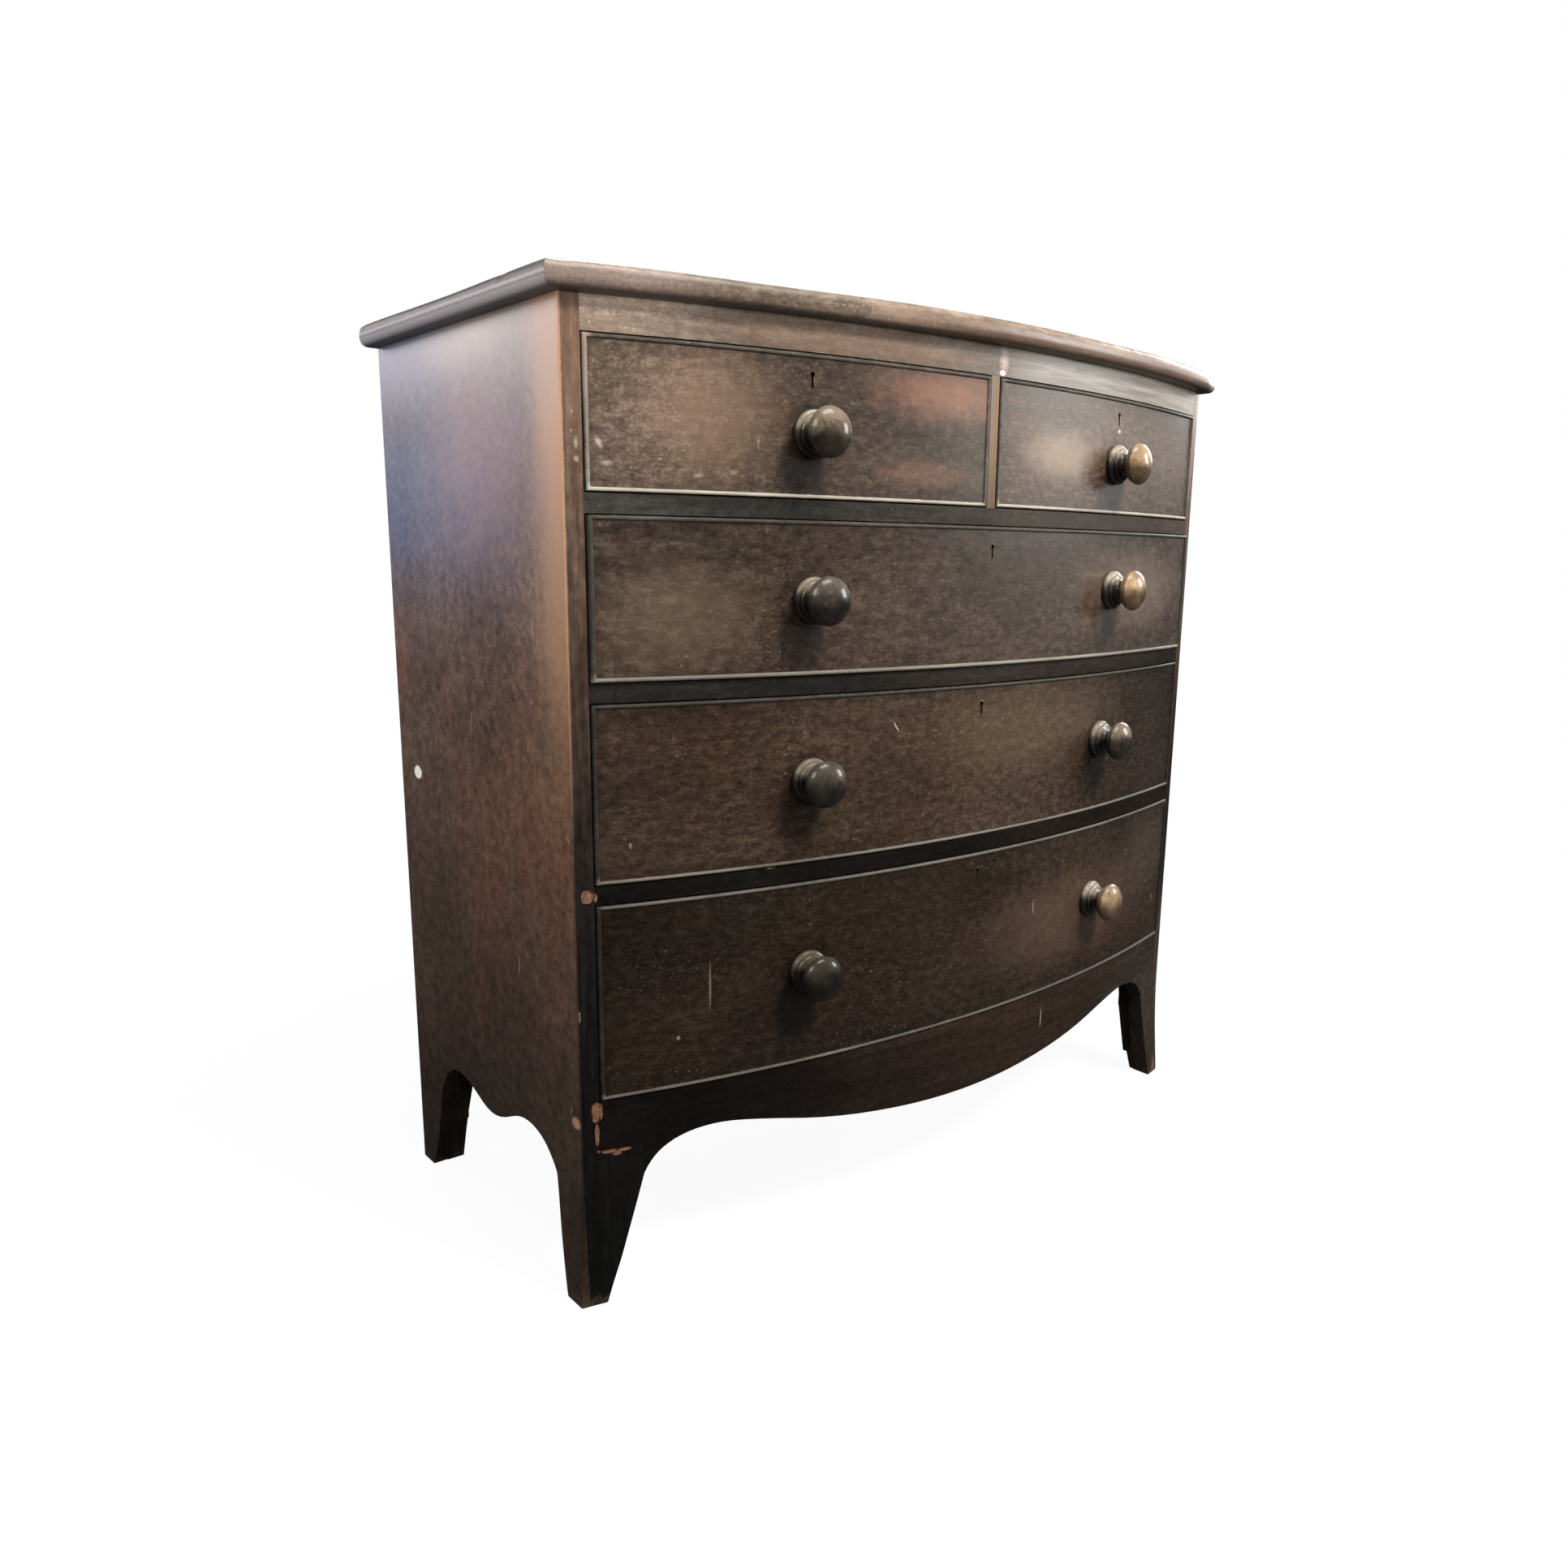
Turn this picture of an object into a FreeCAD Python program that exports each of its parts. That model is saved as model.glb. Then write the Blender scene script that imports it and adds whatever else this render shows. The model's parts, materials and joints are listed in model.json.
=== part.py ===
import FreeCAD, Part
import math
import os
import Sketcher
from FreeCAD import Vector, Rotation, Placement

# Bow front chest of drawers: two short over three long drawers on splayed feet.
# Millimetres, +Z up, the front faces -Y, X runs to the right of someone facing
# the front.  Every piece is drawn with Y = 0 on the line of the two front
# corners of the case and the floor at Z = 0; "frame_shift_y" then moves all of
# them so that the origin lies on the floor under the middle of the whole thing.
# The bowed front is one arc, so all bowed faces share its centre line.

doc = FreeCAD.newDocument("BowFrontChest")
sheet = doc.addObject("Spreadsheet::Sheet", "Dims")

SIZES = [
    # name, value, meaning
    ("case_width", 1020.0, "outside of the two sides"),
    ("case_depth", 435.0, "front corner line to the back of the sides"),
    ("bow_radius", 1771.5, "radius of the bowed front"),
    ("bow_rise", 75.0, "how far the middle of the front stands out"),
    ("frame_shift_y", -164.46, "brings the middle of the overall depth to Y = 0"),
    ("case_top", 1034.0, "underside of the top board"),
    ("top_thick", 20.0, "top board"),
    ("side_thick", 19.0, "sides, and width of the front facings"),
    ("facing_back", 8.0, "back of the front facings"),
    ("housing", 5.0, "depth of the housings cut in the sides"),
    ("foot_joint", 178.0, "top of the front feet, where the facings begin"),
    ("foot_side_len", 57.0, "front foot seen from the side, above its curve"),
    ("row_four_base", 233.0, "top of apron and bottom board"),
    ("row_four", 213.5, "height of the lower opening"),
    ("row_three", 185.5, "height of the middle opening"),
    ("row_two", 162.0, "height of the upper opening"),
    ("row_one", 144.5, "height of the two short openings"),
    ("rail_thick", 19.5, "rails between the drawers"),
    ("rail_back", 35.0, "straight back edge of the rails"),
    ("dust_thick", 12.0, "dust boards and bottom board"),
    ("dust_back", 423.0, "back edge of the dust boards"),
    ("muntin_width", 14.0, "upright between the short drawers"),
    ("apron_thick", 24.0, "apron"),
    ("back_rebate", 8.0, "rebate in the sides for the back boards"),
    ("back_front_y", 423.0, "front face of the back boards"),
    ("back_thick", 10.0, "back boards"),
    ("back_low", 150.0, "lower end of the back boards"),
    ("side_gap", 1.5, "drawer front to case, each side"),
    ("edge_gap", 1.2, "drawer front to rail, above and below"),
    ("front_thick", 22.0, "drawer fronts"),
    ("bead_thick", 4.5, "cockbeads"),
    ("bead_deep", 12.0, "depth of the rebate for the cockbeads"),
    ("bead_proud", 2.0, "cockbeads in front of the drawer face"),
    ("bead_round", 2.0, "rounding of the cockbeads"),
    ("lining_thick", 11.0, "drawer sides"),
    ("lining_in", 0.9, "drawer sides inside the ends of the front"),
    ("lining_low", 0.5, "drawer sides above the dust board"),
    ("lining_top_gap", 2.2, "drawer sides below the rail"),
    ("lining_back", 411.0, "back ends of the drawer sides"),
    ("back_lining", 9.0, "drawer backs"),
    ("back_lining_y", 396.0, "front face of the drawer backs"),
    ("groove_up", 9.3, "bottom groove above the dust board"),
    ("groove_deep", 5.0, "depth of the groove for the drawer bottom"),
    ("bottom_thick", 6.5, "drawer bottoms"),
    ("tenon_radius", 6.0, "knob tenon"),
    ("lock_half", 27.0, "half width of the lock case"),
    ("plate_half", 36.0, "half width of the lock plate"),
    ("lock_depth", 42.0, "height of the lock case"),
    ("plate_depth", 46.0, "height of the lock plate"),
    ("bolt_half", 12.0, "half width of the lock bolt"),
    ("key_down", 27.5, "keyhole below the top of a long drawer front"),
    ("key_down_short", 25.0, "keyhole below the top of a short drawer front"),
    ("screw_radius", 1.6, "shank of the lock screws"),
    ("nail_radius", 1.3, "shank of the nails in the back boards"),
    ("upper_ajar", 3.0, "the upper long drawer stands this far out at rest"),
    ("bracket_y", 405.0, "front face of the back foot brackets"),
]
VALUE = {}
for i, (name, value, note) in enumerate(SIZES, start=1):
    sheet.set("A%d" % i, name)
    sheet.set("B%d" % i, str(value))
    sheet.set("C%d" % i, note)
    sheet.setAlias("B%d" % i, name)
    VALUE[name] = value
doc.recompute()


class Q:
    """A size as a number together with the expression that gives it."""

    def __init__(self, val, ex):
        self.val = float(val)
        self.ex = ex

    @staticmethod
    def of(o):
        return o if isinstance(o, Q) else Q(o, repr(float(o)))

    def _op(self, o, sign, fn):
        o = Q.of(o)
        return Q(fn(self.val, o.val), "(%s %s %s)" % (self.ex, sign, o.ex))

    def __add__(self, o):
        return self._op(o, "+", lambda a, b: a + b)

    def __sub__(self, o):
        return self._op(o, "-", lambda a, b: a - b)

    def __mul__(self, o):
        return self._op(o, "*", lambda a, b: a * b)

    def __truediv__(self, o):
        return self._op(o, "/", lambda a, b: a / b)

    def __neg__(self):
        return Q(-self.val, "(0 - %s)" % self.ex)

    def __radd__(self, o):
        return Q.of(o) + self

    def __rsub__(self, o):
        return Q.of(o) - self

    def __rmul__(self, o):
        return Q.of(o) * self


def S(name):
    return Q(VALUE[name], "Dims." + name)


def num(o):
    return o.val if isinstance(o, Q) else float(o)


R = S("bow_radius")
YC = S("bow_radius") - S("bow_rise")
HALF = S("case_width") / 2
INNER = HALF - S("side_thick")


def bow_y(x, radius=None):
    """Y of a bowed face at x; radius is that of the face."""
    r = num(R if radius is None else radius)
    return num(YC) - math.sqrt(r * r - x * x)


def bow_y_ex(x, radius=None):
    """The same as a size with its expression."""
    x = Q.of(x)
    r = R if radius is None else radius
    return Q(bow_y(x.val, r), "(%s - sqrt(%s ^ 2 - %s ^ 2))" % (YC.ex, r.ex, x.ex))


# ---------------------------------------------------------------- helpers
NODES = []          # objects that become parts
FAULTS = []


def new_body(name, node=True):
    body = doc.addObject("PartDesign::Body", name)
    body.Label = name
    if node:
        NODES.append(body)
    return body


def settle(body):
    """Moves a finished piece from the drawing position to the frame."""
    body.setExpression("Placement.Base.y", "Dims.frame_shift_y")


def plane(body, role):
    for feature in body.Origin.OriginFeatures:
        if feature.Role == role:
            return feature
    raise RuntimeError("no plane " + role)


def sketch(body, role, offset=0, name="Profile"):
    sk = body.newObject("Sketcher::SketchObject", body.Name + "_" + name)
    sk.AttachmentSupport = [(plane(body, role), "")]
    sk.MapMode = "FlatFace"
    sk.AttachmentOffset = Placement(Vector(0, 0, num(offset)), Rotation())
    if isinstance(offset, Q):
        sk.setExpression("AttachmentOffset.Base.z", offset.ex)
    return sk


def tie(sk, kind, geo, pos, q):
    """Fixes one coordinate of a point, bound to its size where it has one."""
    value = num(q)
    axis = -2 if kind == "DistanceX" else -1
    if abs(value) < 1e-9:
        sk.addConstraint(Sketcher.Constraint("PointOnObject", geo, pos, axis))
        return
    if value > 0:
        c = sk.addConstraint(Sketcher.Constraint(kind, -1, 1, geo, pos, value))
        ex = q.ex if isinstance(q, Q) else None
    else:
        c = sk.addConstraint(Sketcher.Constraint(kind, geo, pos, -1, 1, -value))
        ex = "0 - %s" % q.ex if isinstance(q, Q) else None
    if ex:
        sk.setExpression("Constraints[%d]" % c, ex)


def outline(sk, verts, arcs=None, curves=None):
    """Closed outline.  verts: (x, y) sizes; y None means it follows from the
    arc that meets the point.  arcs: {edge: (radius, centre_y)} on the Y axis.
    curves: {edge: [points between its two ends]} drawn as one smooth curve."""
    arcs = arcs or {}
    curves = curves or {}
    n = len(verts)

    def y_of(i):
        x, y = verts[i]
        if y is not None:
            return num(y)
        for e in (i, (i - 1) % n):
            if e in arcs:
                r, cy = arcs[e]
                side = 1.0 if len(arcs[e]) == 2 else arcs[e][2]
                return num(cy) - side * math.sqrt(num(r) ** 2 - num(x) ** 2)
        raise RuntimeError("free point without an arc")

    pts = [Vector(num(v[0]), y_of(i), 0) for i, v in enumerate(verts)]
    ends = []
    for i in range(n):
        a, b = pts[i], pts[(i + 1) % n]
        if i in arcs:
            r, cy = arcs[i][0], arcs[i][1]
            c = Vector(0, num(cy), 0)
            ta = math.atan2(a.y - c.y, a.x - c.x)
            tb = math.atan2(b.y - c.y, b.x - c.x)
            turn = (tb - ta) % (2 * math.pi)
            forward = turn < math.pi
            t0, t1 = (ta, tb) if forward else (tb, ta)
            if t1 < t0:
                t1 += 2 * math.pi
            g = sk.addGeometry(Part.ArcOfCircle(Part.Circle(c, Vector(0, 0, 1), num(r)), t0, t1), False)
            ends.append((g, 1, 2) if forward else (g, 2, 1))
        elif i in curves:
            mid = [Vector(p[0], p[1], 0) for p in curves[i]]
            bs = Part.BSplineCurve()
            bs.interpolate([a] + mid + [b])
            g = sk.addGeometry(bs, False)
            ends.append((g, 1, 2))
        else:
            g = sk.addGeometry(Part.LineSegment(a, b), False)
            ends.append((g, 1, 2))
    for i in range(n):
        g, s, e = ends[i]
        g2, s2, e2 = ends[(i + 1) % n]
        sk.addConstraint(Sketcher.Constraint("Coincident", g, e, g2, s2))
    for i in range(n):
        if i in arcs:
            g = ends[i][0]
            r, cy = arcs[i][0], arcs[i][1]
            sk.addConstraint(Sketcher.Constraint("PointOnObject", g, 3, -2))
            tie(sk, "DistanceY", g, 3, cy)
            c = sk.addConstraint(Sketcher.Constraint("Radius", g, num(r)))
            if isinstance(r, Q):
                sk.setExpression("Constraints[%d]" % c, r.ex)
        if i in curves:
            sk.addConstraint(Sketcher.Constraint("Block", ends[i][0]))
    pinned = set()
    for i in curves:
        pinned.add(i)
        pinned.add((i + 1) % n)
    for i in range(n):
        if i in pinned:
            continue
        g, s, e = ends[i]
        tie(sk, "DistanceX", g, s, verts[i][0])
        if verts[i][1] is not None:
            tie(sk, "DistanceY", g, s, verts[i][1])
    return sk


def circle(sk, x, y, r):
    g = sk.addGeometry(Part.Circle(Vector(num(x), num(y), 0), Vector(0, 0, 1), num(r)), False)
    c = sk.addConstraint(Sketcher.Constraint("Radius", g, num(r)))
    if isinstance(r, Q):
        sk.setExpression("Constraints[%d]" % c, r.ex)
    tie(sk, "DistanceX", g, 3, x)
    tie(sk, "DistanceY", g, 3, y)


def pad(body, sk, length, reverse=False):
    f = body.newObject("PartDesign::Pad", body.Name + "_Pad")
    f.Profile = sk
    f.Length = num(length)
    if isinstance(length, Q):
        f.setExpression("Length", length.ex)
    f.Reversed = reverse
    body.Tip = f
    return f


def pocket(body, sk, length, reverse=False):
    """Cuts, and checks that it did: a cut that points the wrong way is a fault."""
    doc.recompute()
    before = body.Shape.Volume
    f = body.newObject("PartDesign::Pocket", body.Name + "_Pocket")
    f.Profile = sk
    f.Length = num(length)
    if isinstance(length, Q):
        f.setExpression("Length", length.ex)
    f.Reversed = reverse
    body.Tip = f
    doc.recompute()
    if body.Shape.Volume >= before - 0.01:
        FAULTS.append("pocket without effect in " + body.Label)
    return f


def fillet(body, radius, test):
    doc.recompute()
    base = body.Tip
    names = []
    for k, edge in enumerate(base.Shape.Edges, start=1):
        if test(edge):
            names.append("Edge%d" % k)
    if not names:
        FAULTS.append("no edges to round in " + body.Label)
        return None
    f = body.newObject("PartDesign::Fillet", body.Name + "_Fillet")
    f.Base = (base, names)
    f.Radius = num(radius)
    if isinstance(radius, Q):
        f.setExpression("Radius", radius.ex)
    body.Tip = f
    return f


def bow_strip(body, x0, x1, r_out, r_in, z0, height, name="Plan"):
    """Adds a bowed strip between two concentric arcs."""
    sk = sketch(body, "XY_Plane", z0, name)
    outline(sk, [(x0, None), (x1, None), (x1, None), (x0, None)],
            arcs={0: (r_out, YC), 2: (r_in, YC)})
    return pad(body, sk, height)


def flat_board(body, x0, x1, y0, y1, z0, height, name="Plan"):
    sk = sketch(body, "XY_Plane", z0, name)
    outline(sk, [(x0, y0), (x1, y0), (x1, y1), (x0, y1)])
    return pad(body, sk, height)


def box(name, x0, x1, y0, y1, z0, z1):
    """A plain rectangular block, in the frame."""
    b = doc.addObject("Part::Box", name)
    b.Label = name
    for prop, q in (("Length", Q.of(x1) - x0), ("Width", Q.of(y1) - y0), ("Height", Q.of(z1) - z0)):
        setattr(b, prop, q.val)
        b.setExpression(prop, q.ex)
    y = Q.of(y0) + S("frame_shift_y")
    b.Placement = Placement(Vector(num(x0), y.val, num(z0)), Rotation())
    b.setExpression("Placement.Base.x", Q.of(x0).ex)
    b.setExpression("Placement.Base.y", y.ex)
    b.setExpression("Placement.Base.z", Q.of(z0).ex)
    return b


def group(name, members):
    c = doc.addObject("Part::Compound", name)
    c.Label = name
    c.Links = members
    NODES.append(c)
    return c


def mirrored(name, source, node=False):
    m = doc.addObject("Part::Mirroring", name)
    m.Label = name
    m.Source = source
    m.Normal = Vector(1, 0, 0)
    m.Base = Vector(0, 0, 0)
    if node:
        NODES.append(m)
    return m


def radial_sketch(body, x, z, inward, name):
    """A sketch square to the bowed face at x, its origin at height z and
    "inward" behind that face.  Its normal points out of the front."""
    sk = body.newObject("Sketcher::SketchObject", body.Name + "_" + name)
    sk.AttachmentSupport = [(plane(body, "XZ_Plane"), "")]
    sk.MapMode = "FlatFace"
    a = math.degrees(math.asin(num(x) / num(R)))
    r = num(R) - num(inward)
    px = r * math.sin(math.radians(a))
    py = num(YC) - r * math.cos(math.radians(a))
    sk.AttachmentOffset = Placement(Vector(px, num(z), -py), Rotation(Vector(0, 1, 0), a))
    if isinstance(z, Q):
        sk.setExpression("AttachmentOffset.Base.y", z.ex)
    return sk


def radial_placement(x, z):
    """Frame at the bowed face: local +Y points into the chest."""
    a = math.degrees(math.asin(num(x) / num(R)))
    return Placement(Vector(num(x), bow_y(num(x)), num(z)), Rotation(Vector(0, 0, 1), a)), a


# ---------------------------------------------------------------- heights
Z4 = S("row_four_base")
Z4T = Z4 + S("row_four")
Z3 = Z4T + S("rail_thick")
Z3T = Z3 + S("row_three")
Z2 = Z3T + S("rail_thick")
Z2T = Z2 + S("row_two")
Z1 = Z2T + S("rail_thick")
Z1T = Z1 + S("row_one")
MUNT = S("muntin_width") / 2
# where the locks sit along X, and the nails of the back boards
LOCKS = {"left": -253.5, "right": 254.0, "upper": 3.0, "middle": -2.0, "lower": 3.0}
NAIL_X = (-478.0, -272.0, -228.0, -22.0, 22.0, 228.0, 272.0, 478.0)
NAIL_Z = tuple(t - S("dust_thick") / 2 for t in (Z4, Z3, Z2, Z1))

# side foot and arch outline: distance behind the front corner line, height
SIDE_CURVE = [(64, 139.5), (74, 150), (88, 160), (104, 166), (121, 168.5), (142, 166.5),
              (160, 160.5), (178, 152.5), (196, 146.2), (214, 143.6), (232, 145.4), (250, 151),
              (268, 158), (286, 163.2), (304, 165.2), (322, 162.6), (337, 154.5), (349, 143),
              (359, 128), (367, 108), (374, 84), (382, 52), (392, 26)]
# apron outline, left half, from the foot to the middle
APRON_CURVE = [(-439, 152.5), (-431, 162), (-416, 172.5), (-398, 179.2), (-374, 182.8), (-346, 182),
               (-318, 177.6), (-290, 172), (-256, 164.3), (-222, 157.5), (-180, 150.9), (-127, 144.7),
               (-66, 140), (0, 138.3)]
FRONT_FOOT_IN = [(-482.5, 23), (-473.4, 48), (-465.5, 73), (-457.8, 98), (-451, 121)]
SIDE_FOOT_IN = [(29.5, 14), (34.5, 30), (39.6, 47), (44.6, 65), (49.2, 86), (53.2, 108)]

# ---------------------------------------------------------------- sides
body = new_body("side_left")
sk = sketch(body, "YZ_Plane", -HALF)
outline(sk, [(S("facing_back"), S("foot_joint")), (S("foot_side_len"), S("foot_joint")),
             (S("foot_side_len"), 130.0), (405.0, 0.0), (S("case_depth"), 0.0),
             (S("case_depth"), S("case_top")), (S("facing_back"), S("case_top"))],
        curves={2: SIDE_CURVE})
pad(body, sk, S("side_thick"))
# housings for rails and dust boards, cut from the inner face
for k, (low, top) in enumerate(((Z4T, Z3), (Z3T, Z2), (Z2T, Z1))):
    sk = sketch(body, "YZ_Plane", -INNER, "Housing%d" % k)
    outline(sk, [(S("facing_back"), low), (S("rail_back"), low), (S("rail_back"), top - S("dust_thick")),
                 (S("dust_back"), top - S("dust_thick")), (S("dust_back"), top), (S("facing_back"), top)])
    pocket(body, sk, S("housing"))
sk = sketch(body, "YZ_Plane", -INNER, "HousingBottom")
outline(sk, [(S("rail_back"), Z4 - S("dust_thick")), (S("dust_back"), Z4 - S("dust_thick")),
             (S("dust_back"), Z4), (S("rail_back"), Z4)])
pocket(body, sk, S("housing"))
sk = sketch(body, "YZ_Plane", -INNER, "HousingFrieze")
outline(sk, [(S("facing_back"), Z1T), (S("rail_back"), Z1T), (S("rail_back"), S("case_top")),
             (S("facing_back"), S("case_top"))])
pocket(body, sk, S("housing"))
sk = sketch(body, "YZ_Plane", -INNER, "Rebate")
outline(sk, [(S("back_front_y"), S("back_low")), (S("case_depth"), S("back_low")),
             (S("case_depth"), S("case_top")), (S("back_front_y"), S("case_top"))])
pocket(body, sk, S("back_rebate"))
settle(body)
mirrored("side_right", body, node=True)

# ---------------------------------------------------------------- front facings
body = new_body("front_facing_left", node=False)
sk = sketch(body, "XY_Plane", S("foot_joint"))
outline(sk, [(-HALF, None), (-INNER, None), (-INNER, S("facing_back")), (-HALF, S("facing_back"))],
        arcs={0: (R, YC)})
pad(body, sk, S("case_top") - S("foot_joint"))
settle(body)
group("front_facings", [body, mirrored("front_facing_right", body)])

# ---------------------------------------------------------------- top board and its moulding
body = new_body("top_board")
sk = sketch(body, "XY_Plane", S("case_top"))
outline(sk, [(-HALF, None), (HALF, None), (HALF, S("case_depth")), (-HALF, S("case_depth"))],
        arcs={0: (R, YC)})
pad(body, sk, S("top_thick"))
settle(body)

# moulding section: outward from the case face, up from its lowest line
MOULD_LOW = 1029.5
MOULD = [(0.0, 0.0), (11.0, 0.0), (15.6, 0.9), (19.2, 3.6), (21.1, 8.0), (21.5, 12.4), (21.0, 17.0),
         (19.2, 21.0), (15.9, 23.6), (12.0, 24.5), (0.0, 24.5)]
NOSE = 21.5


def mould_section(sk, base, sign):
    """base: coordinate of the case face; sign: which way is outward."""
    pts = [(base + sign * u, MOULD_LOW + w) for u, w in MOULD]
    # a plain bull nose: one smooth curve between the flat underside and the top
    outline(sk, [pts[0], pts[1], pts[9], pts[10]], curves={1: pts[2:9]})


def mitre_cut(body, keep_side, corner_x, name):
    """Cuts the 45 degree mitre at a front corner of the top."""
    cx, cy = corner_x, bow_y(num(HALF))
    sx = 1.0 if corner_x > 0 else -1.0
    far = 60.0
    slope = (cy - bow_y(num(HALF) + NOSE, num(R) + NOSE)) / NOSE
    sk = sketch(body, "XY_Plane", 1000.0, name)
    # the mitre runs from the case corner outward to the corner of the moulding
    a = (cx - sx * 2.0, cy + 2.0 * slope)
    b = (cx + sx * far, cy - far * slope)
    if keep_side == "front":
        pts = [a, b, (b[0], cy + far), (a[0], cy + far)]
    else:
        pts = [a, b, (b[0], cy - 2 * far), (a[0] - sx * 60.0, cy - 2 * far), (a[0] - sx * 60.0, a[1])]
    outline(sk, pts)
    pocket(body, sk, 100.0, reverse=True)


members = []
for nm, x_from, x_to in (("top_moulding_front_left", -560.0, -199.0), ("top_moulding_front_right", -199.0, 560.0)):
    body = new_body(nm, node=False)
    sk = sketch(body, "YZ_Plane", 0)
    mould_section(sk, -num(S("bow_rise")), -1.0)
    # axis of the bow, drawn as a construction line in the same sketch
    g = sk.addGeometry(Part.LineSegment(Vector(num(YC), 0, 0), Vector(num(YC), 100, 0)), True)
    sk.addConstraint(Sketcher.Constraint("Vertical", g))
    tie(sk, "DistanceX", g, 1, YC)
    f = body.newObject("PartDesign::Revolution", nm + "_Revolution")
    f.Profile = sk
    f.ReferenceAxis = (sk, ["Axis0"])
    f.Angle = 35.6
    f.Midplane = True
    body.Tip = f
    doc.recompute()
    # trim to its own length
    for k, (lo, hi) in enumerate(((-900.0, x_from), (x_to, 900.0))):
        if lo < -560.0 and x_from <= -560.0:
            continue
        if hi > 560.0 and x_to >= 560.0:
            continue
        sk = sketch(body, "XY_Plane", 1000.0, "Trim%d" % k)
        outline(sk, [(lo, -200.0), (hi, -200.0), (hi, 400.0), (lo, 400.0)])
        pocket(body, sk, 100.0, reverse=True)
    mitre_cut(body, "front", -num(HALF) if x_from < -500.0 else num(HALF), "Mitre")
    settle(body)
    members.append(body)
group("top_moulding_front", members)

body = new_body("top_moulding_left", node=False)
sk = sketch(body, "XZ_Plane", -S("case_depth"))
mould_section(sk, -num(HALF), -1.0)
pad(body, sk, S("case_depth") + 40.0)
mitre_cut(body, "side", -num(HALF), "Mitre")
settle(body)
group("top_moulding_sides", [body, mirrored("top_moulding_right", body)])


# ---------------------------------------------------------------- rails
def mortise(body, x, z, depth, name):
    """Slot in the underside of a rail that a lock bolt enters."""
    y = bow_y(num(x))
    sk = sketch(body, "XY_Plane", z, name)
    outline(sk, [(x - 15.0, y + 9.6), (x + 15.0, y + 9.6), (x + 15.0, y + 22.4), (x - 15.0, y + 22.4)])
    pocket(body, sk, depth, reverse=True)


def rail(name, z0, height, bolts, node=False):
    body = new_body(name, node=node)
    sk = sketch(body, "XY_Plane", z0)
    ear = INNER + S("housing")
    outline(sk, [(-INNER, None), (INNER, None), (INNER, S("facing_back")), (ear, S("facing_back")),
                 (ear, S("rail_back")), (-ear, S("rail_back")), (-ear, S("facing_back")),
                 (-INNER, S("facing_back"))], arcs={0: (R, YC)})
    pad(body, sk, height)
    for k, x in enumerate(bolts):
        mortise(body, x, z0, 9.0, "Mortise%d" % k)
    settle(body)
    return body


rail("frieze_rail", Z1T, S("case_top") - Z1T, (LOCKS["left"], LOCKS["right"]), node=True)
group("drawer_rails", [rail("drawer_rail_upper", Z2T, S("rail_thick"), (LOCKS["upper"],)),
                       rail("drawer_rail_middle", Z3T, S("rail_thick"), (LOCKS["middle"],)),
                       rail("drawer_rail_lower", Z4T, S("rail_thick"), (LOCKS["lower"],))])

body = new_body("centre_muntin")
sk = sketch(body, "XY_Plane", Z1)
outline(sk, [(-MUNT, None), (MUNT, None), (MUNT, S("rail_back")), (-MUNT, S("rail_back"))],
        arcs={0: (R, YC)})
pad(body, sk, S("row_one"))
settle(body)

body = new_body("centre_partition")
flat_board(body, -MUNT, MUNT, S("rail_back"), S("dust_back"), Z1, S("case_top") - Z1)
settle(body)

# ---------------------------------------------------------------- dust boards, kickers, stops
NAIL_DEEP = 16.0


def nail_holes(body, z):
    """Holes for the nails, from the back edge of a dust board."""
    sk = sketch(body, "XZ_Plane", -S("dust_back"), "NailHoles")
    for x in NAIL_X:
        circle(sk, x, z, S("nail_radius"))
    pocket(body, sk, NAIL_DEEP, reverse=True)


members = []
for nm, top in (("dust_board_upper", Z1), ("dust_board_middle", Z2), ("dust_board_lower", Z3)):
    body = new_body(nm, node=False)
    ear = INNER + S("housing")
    flat_board(body, -ear, ear, S("rail_back"), S("dust_back"), top - S("dust_thick"), S("dust_thick"))
    nail_holes(body, top - S("dust_thick") / 2)
    settle(body)
    members.append(body)

body = new_body("bottom_board", node=False)
ear = INNER + S("housing")
sk = sketch(body, "XY_Plane", Z4 - S("dust_thick"))
outline(sk, [(-INNER, None), (INNER, None), (INNER, S("rail_back")), (ear, S("rail_back")),
             (ear, S("dust_back")), (-ear, S("dust_back")), (-ear, S("rail_back")), (-INNER, S("rail_back"))],
        arcs={0: (R - S("apron_thick"), YC)})
pad(body, sk, S("dust_thick"))
nail_holes(body, Z4 - S("dust_thick") / 2)
settle(body)
members.append(body)
group("dust_boards", members)

members = []
for k, low in enumerate((Z4T, Z3T, Z2T)):
    top = low + S("rail_thick") - S("dust_thick")
    members.append(box("kicker_left_%d" % k, -INNER, -INNER + 25.0, S("rail_back"), S("dust_back"), low, top))
    members.append(box("kicker_right_%d" % k, INNER - 25.0, INNER, S("rail_back"), S("dust_back"), low, top))
for nm, a, b in (("far_left", -INNER, -INNER + 22.0), ("near_left", -MUNT - 18.0, -MUNT),
                 ("near_right", MUNT, MUNT + 18.0), ("far_right", INNER - 22.0, INNER)):
    members.append(box("top_kicker_" + nm, a, b, S("rail_back"), S("dust_back"), Z1T + 1.0, S("case_top")))
group("kicker_strips", members)

members = []
for nm, z, xs in (("short", Z1, (-380.0, -120.0, 120.0, 380.0)), ("upper", Z2, (-300.0, 300.0)),
                  ("middle", Z3, (-300.0, 300.0)), ("lower", Z4, (-300.0, 300.0))):
    for k, x in enumerate(xs):
        # the back of a closed drawer front meets the outer corner of the stop
        y = bow_y(abs(x) + 12.0, R - S("front_thick")) + 0.4
        members.append(box("stop_%s_%d" % (nm, k), x - 12.0, x + 12.0, y, y + 18.0, z, z + 5.0))
group("drawer_stops", members)

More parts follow.
